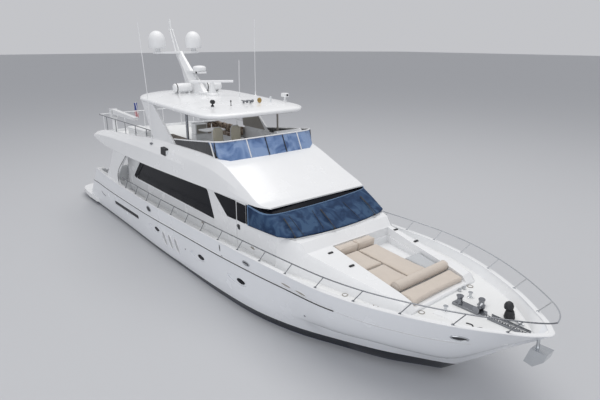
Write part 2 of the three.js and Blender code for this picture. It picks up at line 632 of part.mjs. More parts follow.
// Searchlight head, turning on its foot on the roof.
function searchlight() {
  const stem = turned([[0, GAP], [70, GAP], [60, 50], [30, 70], [30, 150], [0, 150]], 16);
  const barrel = turned([[0, -90], [60, -90], [85, -40], [85, 90], [0, 90]], 12).rotateY(Math.PI / 2);
  return join([stem, barrel.translate(0, 0, 190)]).translate(LAMP.x, LAMP.y, LAMP.footZ);
}

// Step under the two helm chairs, with a post for each.
function helmPlinth() {
  const step = box(CHAIR.x - 420, CHAIR.x + 420, CHAIR.stbdY - 400, CHAIR.centreY + 400, FLY_FLOOR_Z + GAP, 4190);
  const posts = [CHAIR.stbdY, CHAIR.centreY].map((y) => turned([
    [0, 4180], [200, 4180], [55, 4240], [55, CHAIR.postZ], [0, CHAIR.postZ],
  ], 16).translate(CHAIR.x, y, 0));
  return join([step, ...posts]);
}

// Helm chair facing forward, turning on its post.
function helmChair(y) {
  const z = CHAIR.postZ + GAP;
  const boss = turned([[0, z], [90, z], [90, z + 40], [0, z + 40]], 16);
  const seat = box(-270, 270, -270, 270, z + 30, 4880);
  const back = sidePrism([[-310, 4780], [-180, 4780], [-230, 5700], [-340, 5700]], -270, 270);
  const arms = [1, -1].map((s) => box(-260, 180, s * 290 - 30, s * 290 + 30, 4850, 5060));
  return join([boss, seat, back, ...arms]).translate(CHAIR.x, y, 0);
}

function helmConsole() {
  return sidePrism([[150, FLY_FLOOR_Z + GAP], [950, FLY_FLOOR_Z + GAP], [950, 5150], [560, 5440], [150, 5200]], -1600, 520);
}

function portLounge() {
  const base = box(-1100, 450, 950, 2250, FLY_FLOOR_Z + GAP, 4560);
  const back = box(150, 450, 950, 2250, 4500, 5400);
  return join([base, back]);
}

function flySettee() {
  const outline = [[-6900, 2300], [-6900, 600], [-6300, 600], [-6300, 1750], [-4300, 1750], [-4300, 2300]];
  const back = [[-6900, 2300], [-6900, 600], [-6750, 600], [-6750, 2150], [-4300, 2150], [-4300, 2300]];
  return join([planPrism(outline, FLY_FLOOR_Z + GAP, 4560), planPrism(back, 4500, 4980)]);
}

function flyTable() {
  const post = turned([[0, FLY_FLOOR_Z + GAP], [220, FLY_FLOOR_Z + GAP], [60, 4170], [60, 4800], [0, 4800]], 12);
  const top = planPrism(softened([[-450, -600], [450, -600], [450, 600], [-450, 600]], 150), 4790, 4840);
  return join([post, top]).translate(-5300, 1000, 0);
}

function flyBar() {
  return box(-4600, -2700, -2250, -1500, FLY_FLOOR_Z + GAP, 4980);
}

// Rail round the boat deck behind the arch.
function aftRail() {
  const top = 5220;
  const half = [[-4665, 2510], [-5150, 2520], [-9000, 2600], [-11500, 2650], [-11700, 2400], [-11720, 0]];
  const run = [...half, ...mirrorY(half.slice(0, -1)).reverse()].map(([x, y]) => vec(x, y, top));
  const sidePosts = [-5300, -6600, -7900, -9200, -10500].flatMap((x) => SIDES.map(({ s }) => {
    const y = s * lerp(2520, 2650, (x + 5150) / -6350);
    return bar([vec(x, y, flyTopZ(x) - 30), vec(x, y, top)], 16, 6);
  }));
  const sternPosts = [-2400, -1200, 0, 1200, 2400].map((y) => bar(
    [vec(-11710, y, FLY_FLOOR_Z - 30), vec(-11710, y, top)], 16, 6));
  return seated(join([bar(run, 20, 6), ...sidePosts, ...sternPosts]), upperDeckShape);
}

function davitPost() {
  const foot = FLY_FLOOR_Z + GAP;
  return turned([
    [0, foot], [240, foot], [240, foot + 60], [150, foot + 100], [130, DAVIT.postZ], [0, DAVIT.postZ],
  ], 16).translate(DAVIT.x, DAVIT.y, 0);
}

// Slewing head of the davit: a turntable with two cheeks and the pin between them.
function davitHead() {
  const z = DAVIT.postZ + GAP;
  const disc = turned([[0, z], [190, z], [190, z + 60], [0, z + 60]], 16);
  const cheeks = [1, -1].map((s) => box(-150, 150, s * 160 - 20, s * 160 + 20, z + 50, DAVIT.pinZ + 150));
  const pin = bar([vec(0, -150, DAVIT.pinZ), vec(0, 150, DAVIT.pinZ)], DAVIT.pinRadius, 24);
  return join([disc, ...cheeks, pin]).translate(DAVIT.x, DAVIT.y, 0);
}

// Boom of the davit, bored for the pin at its tail.
function davitBoom() {
  const { pinZ } = DAVIT;
  const arm = sidePrism([
    [-130, pinZ - 130], [200, pinZ - 140], [3250, pinZ - 130], [3350, pinZ - 60], [3350, pinZ + 20],
    [200, pinZ + 130], [-130, pinZ + 130],
  ], -115, 115);
  const bore = bar([vec(0, -200, pinZ), vec(0, 200, pinZ)], DAVIT.pinRadius + BEARING, 24);
  return cut(arm, [bore]).translate(DAVIT.x, DAVIT.y, 0);
}

// Hand rail on the bulwark: leaning posts and one top bar, from the side wing to the stem.
function sideRail(s) {
  const base = (x) => vec(x, s * (along(STATIONS, x, 'sheerY') - 65), along(STATIONS, x, 'sheerZ') - 20);
  const tip = (x) => {
    const foot = base(x);
    return vec(x + RAIL.lean, foot.y - s * 30, foot.z + RAIL.height);
  };
  const posts = RAIL.posts.map((x) => bar([base(x), tip(x)], 15, 6));
  const front = vec(13100, s > 0 ? -40 : -80, 2700);
  const nodes = [tip(-8100), ...RAIL.posts.map(tip), vec(12980, s * 330, 2720), front];
  const whole = join([bar(nodes, 19, 6), ...posts]);
  const rings = STATIONS.map((row, i) => hullRing(row, i === 0));
  return cut(whole, [loft(rings, ['y', 'z']).translate(0, 0, GAP)]);
}

// Floor height and side edges of the sunpad recess at x.
function recessAt(x) {
  const t = (x - RECESS.aftX) / (RECESS.foreX - RECESS.aftX);
  return {
    floor: lerp(RECESS.aftZ, RECESS.foreZ, t),
    stbd: lerp(RECESS.aftStbd, RECESS.foreStbd, t),
    port: lerp(RECESS.aftPort, RECESS.forePort, t),
  };
}

// Foredeck trunk, sloping from the windscreen to the bow, with the sunpad recess and its foot well.
function trunk() {
  const rows = [
    { x: 4960, halfTop: 2440, halfFoot: 2600, top: 2950 },
    { x: 5450, halfTop: 2260, halfFoot: 2550, top: 2940 },
    { x: 5760, halfTop: 2160, halfFoot: 2490, top: 2900 },
    { x: 6020, halfTop: 2090, halfFoot: 2430, top: 2610 },
    { x: 7600, halfTop: 1900, halfFoot: 2140, top: 2440 },
    { x: 9300, halfTop: 1700, halfFoot: 1900, top: 2290 },
    { x: 10000, halfTop: 1570, halfFoot: 1760, top: 2240 },
    { x: 10230, halfTop: 1300, halfFoot: 1520, top: 2010 },
  ];
  const rings = rows.map(({ x, halfTop, halfFoot, top }) => {
    const foot = deckZ(x) - 60;
    const shoulder = lerp(halfTop, halfFoot, 0.35);
    return [
      vec(x, halfFoot, foot), vec(x, shoulder, lerp(foot, top, 0.8)), vec(x, halfTop - 40, top),
      vec(x, -halfTop + 40, top), vec(x, -shoulder, lerp(foot, top, 0.8)), vec(x, -halfFoot, foot),
    ];
  });
  const recess = loft([RECESS.aftX, 10300].map((x) => {
    const edge = recessAt(x);
    return [vec(x, edge.stbd, edge.floor), vec(x, edge.port, edge.floor), vec(x, edge.port, 3200), vec(x, edge.stbd, 3200)];
  }), ['y', 'z']);
  const footWell = planPrism([
    [RECESS.aftX + 60, PAD_MIDDLE + 20], [WELL_END_X, PAD_MIDDLE + 20], [WELL_END_X, 1520], [RECESS.aftX + 60, 1800],
  ], 2020, 3200);
  const house = planPrism(grown(houseOutline, GAP), 0, 5000);
  return seated(cut(loft(rings, ['y', 'z']), [house, recess, footWell]), hullShape);
}

// Cushion with softened edges, lying along the slope of the recess floor between two edges.
// An edge is a y value, or the recess wall when it is left out.
function pad(x0, x1, thick, { stbdY, portY }) {
  const stbd = (x) => stbdY ?? recessAt(x).stbd + 20;
  const port = (x) => portY ?? recessAt(x).port - 20;
  const outline = softened([[x0, stbd(x0)], [x1, stbd(x1)], [x1, port(x1)], [x0, port(x0)]], 60, 2);
  const rings = [0, thick].map((lift) => outline.map(([x, y]) => vec(x, y, recessAt(x).floor + GAP + lift)));
  return loft(rings, ['x', 'y']);
}

function windlass() {
  const z = deckZ(10400);
  const base = box(10250, 11200, -150, 150, z - 40, z + 70);
  const capstan = turned([[0, z], [120, z], [90, z + 120], [70, z + 200], [110, z + 290], [0, z + 290]], 14).translate(10400, 0, 0);
  const gypsy = turned([[0, -150], [110, -150], [60, -60], [60, 60], [110, 150], [0, 150]], 14)
    .rotateX(Math.PI / 2).translate(11000, 0, z + 150);
  return seated(join([base, capstan, gypsy]), hullShape);
}

// Stockless anchor housed under the stem, hung from its roller.
function anchor() {
  const shank = bar([vec(12740, 0, 1600), vec(12700, 0, 2120)], 45, 8);
  const fluke = sidePrism([[12500, 1330], [12740, 1290], [12990, 1540], [13050, 1780], [12620, 1760]], -200, 200);
  const moves = [[0.5, 0, -0.5], [0, 0.5, 0], [0, -0.5, 0]];
  return cut(join([shank, fluke]), moves.map(([x, y, z]) => hullShape.clone().translate(x, y, z)));
}

// Point on the axis of a propeller shaft, which slopes down to the stern.
function shaftPoint(x, s) {
  return vec(x, s * PROP_Y, SHAFT.z + SHAFT.slope * (x - SHAFT.x));
}

// Strut under the hull with its bored boss for the shaft.
function strut(s) {
  const y = s * PROP_Y;
  const { x, z } = SHAFT;
  const leg = sidePrism([[x + 340, -720], [x + 700, -720], [x + 560, z + 100], [x + 270, z + 60]], y - 25, y + 25);
  const boss = bar([shaftPoint(x + 220, s), shaftPoint(x + 620, s)], 90, 16);
  const bore = bar([shaftPoint(x + 100, s), shaftPoint(x + 800, s)], SHAFT.radius + BEARING, 24);
  return cut(join([leg, boss]), [bore, hullShape.clone().translate(0, 0, -GAP)]);
}

// Four-bladed propeller with its shaft, which runs up into the hull.
function propeller(s) {
  const hub = turned([[0, -130], [60, -130], [85, -60], [85, 90], [0, 90]], 12).rotateY(Math.PI / 2);
  const outline = softened([[-60, 40], [60, 40], [190, 300], [90, 440], [-90, 440], [-190, 300]], 90, 2);
  const blades = [0, 1, 2, 3].map((i) => {
    const blade = new THREE.ExtrudeGeometry(shapeOf(outline), { depth: 24, bevelEnabled: false });
    return blade.translate(0, 0, -12).rotateY(s * 0.6).rotateX((Math.PI / 2) * i);
  });
  const centre = shaftPoint(SHAFT.x, s);
  const screw = join([hub, ...blades]).rotateY(-Math.atan(SHAFT.slope)).translate(centre.x, centre.y, centre.z);
  return join([screw, bar([shaftPoint(SHAFT.x - 40, s), shaftPoint(SHAFT.topX, s)], SHAFT.radius, 24)]);
}

// Rudder blade with its stock, which runs up into the hull.
function rudder(s) {
  const { x, chord, stock } = RUDDER;
  const blade = sidePrism([
    [-chord * 0.65, -2020], [chord * 0.3, -1980], [chord * 0.35, -1060], [-chord * 0.65, -1080],
  ], -35, 35);
  return join([blade, bar([vec(0, 0, -1420), vec(0, 0, -680)], stock, 24)]).translate(x, s * PROP_Y, 0);
}

function whipAerial() {
  const whip = bar([vec(-4300, -2700, 4700), vec(-4350, -2700, 6900), vec(-4700, -2700, 9950)], 14, 6);
  return seated(whip, upperDeckShape);
}

// The three carriers that other pieces are cut to
const hullShape = hull();
const upperDeckShape = upperDeck();
const hardtopShape = hardtop();

place('hull', hullShape, 'gelcoat');
place('swim_platform', swimPlatform(), 'gelcoat');
place('cockpit_settee', cockpitSettee(), 'dark');
place('cockpit_table', cockpitTable(), 'gelcoat');
place('house', house(), 'gelcoat');
place('windscreen', windscreen(), 'glass');
place('upper_deck', upperDeckShape, 'gelcoat');
place('fly_screen', flyScreen(), 'tint');
place('hardtop', hardtopShape, 'gelcoat');
place('mast', mast(), 'gelcoat');
place('radome', radome(), 'gelcoat');
place('radar_pedestal', radarPedestal(), 'gelcoat');
place('radar_array', radarArray(), 'gelcoat');
place('searchlight', searchlight(), 'dark');
place('helm_plinth', helmPlinth(), 'gelcoat');
place('helm_chair_stbd', helmChair(CHAIR.stbdY), 'cream');
place('helm_chair_centre', helmChair(CHAIR.centreY), 'cream');
place('helm_console', helmConsole(), 'gelcoat');
place('port_lounge', portLounge(), 'cream');
place('fly_settee', flySettee(), 'brown');
place('fly_table', flyTable(), 'gelcoat');
place('fly_bar', flyBar(), 'gelcoat');
place('aft_rail', aftRail(), 'steel');
place('davit_post', davitPost(), 'gelcoat');
place('davit_head', davitHead(), 'gelcoat');
place('davit_boom', davitBoom(), 'gelcoat');
place('trunk', trunk(), 'gelcoat');
place('windlass', windlass(), 'steel');
place('anchor', anchor(), 'steel');
place('aerial', whipAerial(), 'gelcoat');
for (const { side, s } of SIDES) {
  place(`transom_gate_${side}`, transomGate(s), 'gelcoat');
  place(`side_glass_${side}`, sideGlass(s), 'glass');
  place(`side_door_${side}`, sideDoor(s), 'gelcoat');
  place(`saloon_door_${side}`, saloonDoor(s), 'glass');
  place(`side_wing_${side}`, sideWing(s), 'gelcoat');
  place(`arch_${side}`, archLeg(s), 'gelcoat');
  place(`satdome_${side}`, satDome(s), 'gelcoat');
  place(`liferaft_${side}`, liferaft(s), 'gelcoat');
  place(`side_rail_${side}`, sideRail(s), 'steel');
  place(`strut_${side}`, strut(s), 'bronze');
  place(`propeller_${side}`, propeller(s), 'bronze');
  place(`rudder_${side}`, rudder(s), 'bronze');
}
place('sunpad_back', pad(6080, 6420, 340, { portY: PAD_MIDDLE }), 'cushion');
place('sunpad_seat', pad(6440, 8770, 130, { portY: PAD_MIDDLE }), 'cushion');
place('sunpad_side', pad(WELL_END_X + 20, 8770, 90, { stbdY: PAD_MIDDLE + 20 }), 'cushion');
place('sunpad_roll', pad(8790, 9080, 310, {}), 'cushion');
place('sunpad_front', pad(9100, 9870, 130, {}), 'cushion');

export default yacht;
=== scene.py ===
"""Looks of the motor yacht: fine surfaces, fittings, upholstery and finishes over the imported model.

Metres. +X forward, +Y port, +Z up, origin on the centreline at the waterline amidships.
"""
import json
import math
import bmesh
import bpy
from mathutils import Matrix, Vector

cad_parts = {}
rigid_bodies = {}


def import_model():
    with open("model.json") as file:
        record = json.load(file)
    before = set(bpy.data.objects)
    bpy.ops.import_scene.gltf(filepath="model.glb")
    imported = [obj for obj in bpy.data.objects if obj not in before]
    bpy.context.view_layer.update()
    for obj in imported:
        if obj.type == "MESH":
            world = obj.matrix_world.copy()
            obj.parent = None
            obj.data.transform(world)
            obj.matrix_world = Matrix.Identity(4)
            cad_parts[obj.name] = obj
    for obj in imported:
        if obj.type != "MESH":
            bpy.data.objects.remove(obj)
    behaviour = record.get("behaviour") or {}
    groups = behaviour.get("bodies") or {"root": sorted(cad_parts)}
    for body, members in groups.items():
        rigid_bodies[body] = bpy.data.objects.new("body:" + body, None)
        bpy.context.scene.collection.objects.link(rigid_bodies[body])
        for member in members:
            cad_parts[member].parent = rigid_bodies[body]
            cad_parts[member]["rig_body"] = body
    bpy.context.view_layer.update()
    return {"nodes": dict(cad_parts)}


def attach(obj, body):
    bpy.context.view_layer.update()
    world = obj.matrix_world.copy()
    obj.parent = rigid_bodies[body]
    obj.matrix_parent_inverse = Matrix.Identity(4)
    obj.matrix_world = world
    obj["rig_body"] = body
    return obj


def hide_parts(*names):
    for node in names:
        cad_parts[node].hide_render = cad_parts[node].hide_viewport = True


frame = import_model()

SIDES = (("port", 1), ("stbd", -1))
X, Y, Z = (1, 0, 0), (0, 1, 0), (0, 0, 1)

# Named sizes shared by several pieces. Heights in this file are given from a datum plane
# that lies DATUM_Z above the water; show() lifts every piece to its place.
DATUM_Z = 0.42
CAP_WIDTH = 0.13
DECK_EDGE = 0.11
SOLE_Z = 1.15
OPEN_Z = 2.6  # top of what is cut out of the hull, above the bulwarks
TRANSOM_X = -12.1
TRANSOM_TOP_X = -12.2
TRANSOM_SLOPE = 0.9
WALL_Y = 2.5
BROW_Z = 3.72
FLY_FLOOR_Z = 4.12
FOREDECK_Z = 1.962
ROOF_SLOPE = 0.031
RAIL_LEAN = 0.33
RAIL_HEIGHT = 0.49
RAIL_POSTS = (-7.35, -6.02, -4.68, -3.34, -2.0, -0.66, 0.68, 2.02, 3.36, 4.7, 6.04, 7.38, 8.7, 9.98, 11.19, 12.26)


def table(columns, *rows):
    return [dict(zip(columns.split(), row)) for row in rows]


# Hull sections: rail at deck edge, knuckle low on the side, bottom corner, keel, and the bend of the topside.
STATIONS = table(
    "x sheerY sheerZ chineY chineZ bilgeY bilgeZ keelZ flare",
    (TRANSOM_X, 3.02, 2.05, 2.92, -0.47, 2.8, -0.62, -1.02, 0.45),
    (-10.0, 3.12, 1.98, 2.865, -0.47, 2.79, -0.62, -1.27, 0.45),
    (-7.5, 3.16, 1.93, 2.885, -0.47, 2.81, -0.62, -1.42, 0.5),
    (-4.0, 3.17, 1.92, 2.93, -0.46, 2.85, -0.62, -1.54, 0.5),
    (-1.0, 3.17, 1.98, 2.975, -0.17, 2.88, -0.6, -1.6, 0.6),
    (1.8, 3.16, 2.06, 2.99, 0.15, 2.86, -0.5, -1.6, 0.8),
    (4.0, 3.14, 2.13, 2.9, 0.27, 2.67, -0.5, -1.57, 1.0),
    (5.8, 3.08, 2.18, 2.56, 0.355, 2.21, -0.5, -1.5, 0.85),
    (7.4, 2.97, 2.22, 2.01, 0.41, 1.5, -0.5, -1.37, 0.5),
    (8.7, 2.71, 2.25, 1.41, 0.48, 0.9, -0.5, -1.13, 0.45),
    (9.8, 2.32, 2.27, 0.86, 0.46, 0.16, -0.45, -0.6, 0.5),
    (10.7, 1.89, 2.275, 0.4, 0.52, 0.12, 0.26, 0.165, 0.55),
    (11.5, 1.42, 2.28, 0.24, 1.1, 0.08, 0.97, 0.885, 0.6),
    (12.2, 0.9, 2.28, 0.12, 1.66, 0.04, 1.57, 1.53, 0.8),
    (12.7, 0.48, 2.28, 0.06, 2.035, 0.02, 1.985, 1.965, 1.0),
    (12.95, 0.16, 2.28, 0.03, 2.215, 0.01, 2.195, 2.185, 1.0),
)

# Upper deck sections: lower edge, two creases up its side, and the top edge.
FLY_SECTIONS = table(
    "x edgeY edgeZ lowY lowZ highY highZ topY topZ",
    (-11.9, 3.02, 4.0, 2.99, 4.09, 2.88, 4.16, 2.75, 4.25),
    (-11.0, 3.07, 3.88, 2.99, 4.2, 2.87, 4.29, 2.68, 4.43),
    (-9.5, 3.09, 3.74, 2.98, 4.29, 2.86, 4.42, 2.66, 4.53),
    (-7.0, 3.09, BROW_Z, 2.98, 4.36, 2.85, 4.56, 2.63, 4.7),
    (-4.7, 3.06, BROW_Z, 2.97, 4.41, 2.84, 4.66, 2.6, 4.9),
    (-2.4, 2.95, BROW_Z, 2.89, 4.38, 2.79, 4.66, 2.56, 4.97),
    (0.6, 2.76, BROW_Z, 2.72, 4.2, 2.66, 4.55, 2.48, 4.97),
    (1.45, 2.7, BROW_Z, 2.67, 4.08, 2.6, 4.4, 2.39, 4.81),
    (3.0, 2.6, BROW_Z, 2.58, 3.85, 2.53, 3.98, 2.42, 4.18),
    (3.86, 2.5, BROW_Z, 2.49, 3.745, 2.475, 3.785, 2.44, 3.845),
    (4.31, 2.28, BROW_Z, 2.276, 3.735, 2.272, 3.75, 2.265, 3.77),
)

# Port half of the roof's outline, and its layers as height and inset.
HARDTOP_HALF = [(0.8, 0), (0.77, 1.7), (0.56, 2.15), (-0.08, 2.5), (-2.5, 2.57), (-5.1, 2.58), (-5.8, 2.48),
                (-6.6, 2.0), (-7.15, 1.0), (-7.3, 0)]
HARDTOP_LAYERS = [(6.4, 0.13), (6.412, 0.06), (6.44, 0.02), (6.48, 0.004), (6.52, 0), (6.56, 0.02), (6.59, 0.06),
                  (6.615, 0.13), (6.64, 0.25), (6.68, 0.55), (6.72, 0.95), (6.75, 1.35), (6.77, 1.7)]


# Camera, floor and light

def set_camera():
    yaw, pitch, roll = (math.radians(a) for a in (39.4, 18.0, 0.16))
    ahead = Vector((-math.cos(yaw) * math.cos(pitch), math.sin(yaw) * math.cos(pitch), -math.sin(pitch)))
    level = ahead.cross(Vector(Z)).normalized()
    lift = level.cross(ahead)
    right = math.cos(roll) * level + math.sin(roll) * lift
    top = math.cos(roll) * lift - math.sin(roll) * level
    data = bpy.data.cameras.new("camera")
    data.sensor_width = 36
    data.lens = 29.28
    data.clip_end = 500
    camera = placed("camera", data)
    camera.matrix_world = Matrix((right, top, -ahead)).transposed().to_4x4()
    camera.location = (17.129, -11.5, 9.61)
    bpy.context.scene.camera = camera


def set_light():
    world = bpy.data.worlds.new("studio")
    world.use_nodes = True
    back = world.node_tree.nodes["Background"]
    back.inputs["Color"].default_value = (0.95, 0.96, 1.0, 1)
    back.inputs["Strength"].default_value = 0.58
    bpy.context.scene.world = world
    for name, place, aim, power, size, tint in (
        ("key", (0, 4, 45), (0, 0, 2), 10500, 40, (1.0, 0.98, 0.95)),
        ("fill", (22, -40, 13), (0, 0, 1), 3400, 30, (0.98, 0.98, 1.0)),
    ):
        data = bpy.data.lights.new(name, "AREA")
        data.energy = power
        data.size = size
        data.color = tint
        lamp = placed(name, data)
        lamp.location = place
        lamp.rotation_euler = (Vector(aim) - Vector(place)).to_track_quat("-Z", "Y").to_euler()
    bpy.context.scene.view_settings.view_transform = "Standard"


def set_floor():
    reach = 400
    mesh = prism("floor", rect(-reach, -reach, reach, reach), -0.01, 0.0)
    plain = moulded("floor_plain", (0.55, 0.56, 0.58), rough=0.8, coat=0, patch=0.05, spread=0.01, bump=0.0)
    floor = placed("floor", mesh)
    paint(mesh, plain)


# Finishes

def add_node(tree, kind, inputs=None, **settings):
    made = tree.nodes.new(kind)
    for key, value in settings.items():
        setattr(made, key, value)
    for key, value in (inputs or {}).items():
        if isinstance(value, bpy.types.NodeSocket):
            tree.links.new(value, made.inputs[key])
        else:
            made.inputs[key].default_value = value
    return made


def math_node(tree, operation, *values):
    return add_node(tree, "ShaderNodeMath", dict(enumerate(values)), operation=operation).outputs["Value"]


def raised(tree, shader, height, strength, distance):
    relief = add_node(tree, "ShaderNodeBump", {"Height": height, "Strength": strength, "Distance": distance})
    tree.links.new(relief.outputs["Normal"], shader.inputs["Normal"])


def tone(colour, factor):
    return (*(min(c * factor, 1) for c in colour), 1)


def start(name, rough, metal=0.0, **sockets):
    """A material with its shader's own constants set, its tree, and coordinates that ride with the piece."""
    made = bpy.data.materials.new(name)
    made.use_nodes = True
    tree = made.node_tree
    shader = tree.nodes["Principled BSDF"]
    shader.inputs["Roughness"].default_value = rough
    shader.inputs["Metallic"].default_value = metal
    for key, value in sockets.items():
        shader.inputs[key.replace("_", " ")].default_value = value
    place = tree.nodes.new("ShaderNodeTexCoord").outputs["Object"]
    return made, tree, shader, place


def blend_colours(tree, factor, first, second):
    mix = add_node(tree, "ShaderNodeMix", {"Factor": factor}, data_type="RGBA")
    for index, colour in ((6, first), (7, second)):
        if isinstance(colour, bpy.types.NodeSocket):
            tree.links.new(colour, mix.inputs[index])
        else:
            mix.inputs[index].default_value = colour
    return mix.outputs[2]


def shaded(tree, shader, place, colour, patch, spread, grain, bump, rough, rough_spread=0.05):
    """Colour that drifts in soft patches, uneven gloss, and a fine grain that stands proud."""
    drift = add_node(tree, "ShaderNodeTexNoise", {"Vector": place, "Scale": patch, "Detail": 4.0}).outputs["Fac"]
    mixed = blend_colours(tree, drift, tone(colour, 1 - spread), tone(colour, 1 + spread))
    tree.links.new(mixed, shader.inputs["Base Color"])
    gloss = add_node(tree, "ShaderNodeMapRange", {
        "Value": drift, "From Min": 0.3, "From Max": 0.7,
        "To Min": rough - rough_spread, "To Max": rough + rough_spread})
    tree.links.new(gloss.outputs["Result"], shader.inputs["Roughness"])
    fine = add_node(tree, "ShaderNodeTexNoise", {"Vector": place, "Scale": grain, "Detail": 3.0}).outputs["Fac"]
    raised(tree, shader, fine, bump, 0.004)
    return drift


def moulded(name, colour, rough=0.25, coat=0.5, patch=0.8, spread=0.025, grain=30.0, bump=0.05, metal=0.0):
    made, tree, shader, place = start(name, rough, metal, Coat_Weight=coat, Coat_Roughness=0.12)
    shaded(tree, shader, place, colour, patch, spread, grain, bump, rough)
    return made


def treaded(name, colour):
    """Moulded non-skid: small raised diamonds."""
    made, tree, shader, place = start(name, 0.6)
    shaded(tree, shader, place, colour, 1.5, 0.03, 60.0, 0.1, 0.6)
    cells = add_node(tree, "ShaderNodeTexVoronoi", {"Vector": place, "Scale": 55.0, "Randomness": 0.0},
                     feature="DISTANCE_TO_EDGE")
    raised(tree, shader, cells.outputs["Distance"], 0.5, 0.004)
    return made


def hull_paint():
    """Light hull side, a dark boot band just above the water and blue bottom paint under it."""
    made, tree, shader, place = start("hull_paint", 0.22, Coat_Weight=0.6, Coat_Roughness=0.08)
    side = (0.84, 0.86, 0.89)
    split = add_node(tree, "ShaderNodeSeparateXYZ", {"Vector": place})
    drift = shaded(tree, shader, place, side, 0.5, 0.03, 18.0, 0.03, 0.24)
    light = blend_colours(tree, drift, tone(side, 0.97), tone(side, 1.03))
    band = add_node(tree, "ShaderNodeMapRange", {
        "Value": split.outputs["X"], "From Min": -1.0, "From Max": 10.6, "To Min": 0.16, "To Max": 0.44})
    above = math_node(tree, "GREATER_THAN", split.outputs["Z"], band.outputs["Result"])
    under = math_node(tree, "GREATER_THAN", split.outputs["Z"], 0.02)
    low = blend_colours(tree, under, (0.012, 0.03, 0.11, 1), (0.008, 0.011, 0.02, 1))
    tree.links.new(blend_colours(tree, above, low, light), shader.inputs["Base Color"])
    return made


def woven(name, colour, threads, rough=0.85, sheen=0.3, spread=0.06, bump=0.35):
    """Cloth: two crossing thread bands in relief, with the colour drifting a little."""
    made, tree, shader, place = start(name, rough, Sheen_Weight=sheen, Sheen_Roughness=0.5)
    shaded(tree, shader, place, colour, 3.0, spread, 90.0, 0.1, rough)
    bands = [add_node(tree, "ShaderNodeTexWave", {"Vector": place, "Scale": threads / 6, "Distortion": 0.4},
                      bands_direction=way).outputs["Fac"] for way in ("X", "Y")]
    raised(tree, shader, math_node(tree, "MULTIPLY", *bands), bump, 0.003)
    return made


def mottled(name, colours, scale, rough=0.8, sheen=0.3, bump=0.3):
    """Soft blots of several colours: the pattern of patterned cloth, and painted reflections and highlights that make
    a tinted sheet and a cover lighter and darker in places.
    """
    made, tree, shader, place = start(name, rough, Sheen_Weight=sheen)
    shaded(tree, shader, place, colours[0], 3.0, 0.05, 120.0, bump, rough)
    blots = add_node(tree, "ShaderNodeTexNoise", {"Vector": place, "Scale": scale, "Detail": 2.0, "Distortion": 1.2})
    ramp = add_node(tree, "ShaderNodeValToRGB", {"Fac": blots.outputs["Fac"]})
    while len(ramp.color_ramp.elements) < len(colours):
        ramp.color_ramp.elements.new(0.5)
    for element, step, colour in zip(ramp.color_ramp.elements, (0.36, 0.45, 0.52, 0.6), colours):
        element.position = step
        element.color = (*colour, 1)
    tree.links.new(ramp.outputs["Color"], shader.inputs["Base Color"])
    return made


def striped(name):
    """Flag cloth: blue above one height, and under it upright red and white stripes side by side."""
    made, tree, shader, place = start(name, 0.8, Sheen_Weight=0.3)
    shaded(tree, shader, place, (0.6, 0.1, 0.12), 3.0, 0.05, 120.0, 0.2, 0.8)
    split = add_node(tree, "ShaderNodeSeparateXYZ", {"Vector": place})
    wave = math_node(tree, "SINE", math_node(tree, "MULTIPLY", split.outputs["Y"], 130.0))
    stripe = math_node(tree, "GREATER_THAN", wave, 0.0)
    bars = blend_colours(tree, stripe, (0.5, 0.03, 0.05, 1), (0.8, 0.8, 0.82, 1))
    top = math_node(tree, "GREATER_THAN", split.outputs["Z"], 5.66)
    tree.links.new(blend_colours(tree, top, bars, (0.03, 0.06, 0.3, 1)), shader.inputs["Base Color"])
    return made


def dull(material, level):
    material.node_tree.nodes["Principled BSDF"].inputs["Specular IOR Level"].default_value = level
    return material


WHITE = moulded("gelcoat_white", (0.86, 0.87, 0.88))
SATIN = moulded("satin_white", (0.84, 0.85, 0.86), rough=0.42, coat=0.15, grain=80.0, bump=0.08)
DECK = treaded("deck_nonskid", (0.82, 0.83, 0.83))
HULL = hull_paint()
GLASS = dull(moulded("dark_glass", (0.007, 0.008, 0.012), rough=0.2, coat=0.0, patch=0.4, spread=0.25,
                     bump=0.01), 0.08)
# Blue screen whose darker and lighter blots are painted reflections on the tinted sheet.
SCREEN = mottled("blue_tinted_screen_painted_reflections", ((0.07, 0.13, 0.29), (0.12, 0.21, 0.41), (0.18, 0.28, 0.50),
                                        (0.25, 0.36, 0.58)), 1.1, 0.25, 0.0, 0.02)
SMOKE = moulded("smoked_screen", (0.055, 0.055, 0.058), coat=0.1, patch=1.5, spread=0.3, bump=0.02)
# Grey for linings, and painted shade on flat panels and discs that stand for shaded openings and recesses.
LINING_AND_SHADE_GREY = moulded("grey_lining_and_painted_shade", (0.36, 0.34, 0.31), rough=0.7, coat=0, patch=1.5, grain=90.0, bump=0.2)
# Light grey for the floors of the hull's oval vents: painted shade inside the recesses.
VENT = moulded("vent_painted_shade_grey", (0.60, 0.60, 0.60), rough=0.5, coat=0, patch=2.0, spread=0.08, grain=60.0, bump=0.1)
# Darker steel for dark fittings, and painted shade where it stands in for lit steel on the starboard rails and posts.
DARK_AND_SHADED_STEEL = moulded("shaded_steel", (0.27, 0.28, 0.30), coat=0, metal=1.0, patch=6.0, spread=0.08, grain=120.0)
STEEL = moulded("polished_steel", (0.62, 0.64, 0.66), rough=0.18, coat=0, metal=1.0, patch=6.0, spread=0.05,
                grain=120.0)
BRASS = moulded("bronze_castings", (0.52, 0.36, 0.14), rough=0.32, coat=0, metal=1.0, patch=5.0, spread=0.15,
                grain=60.0, bump=0.15)
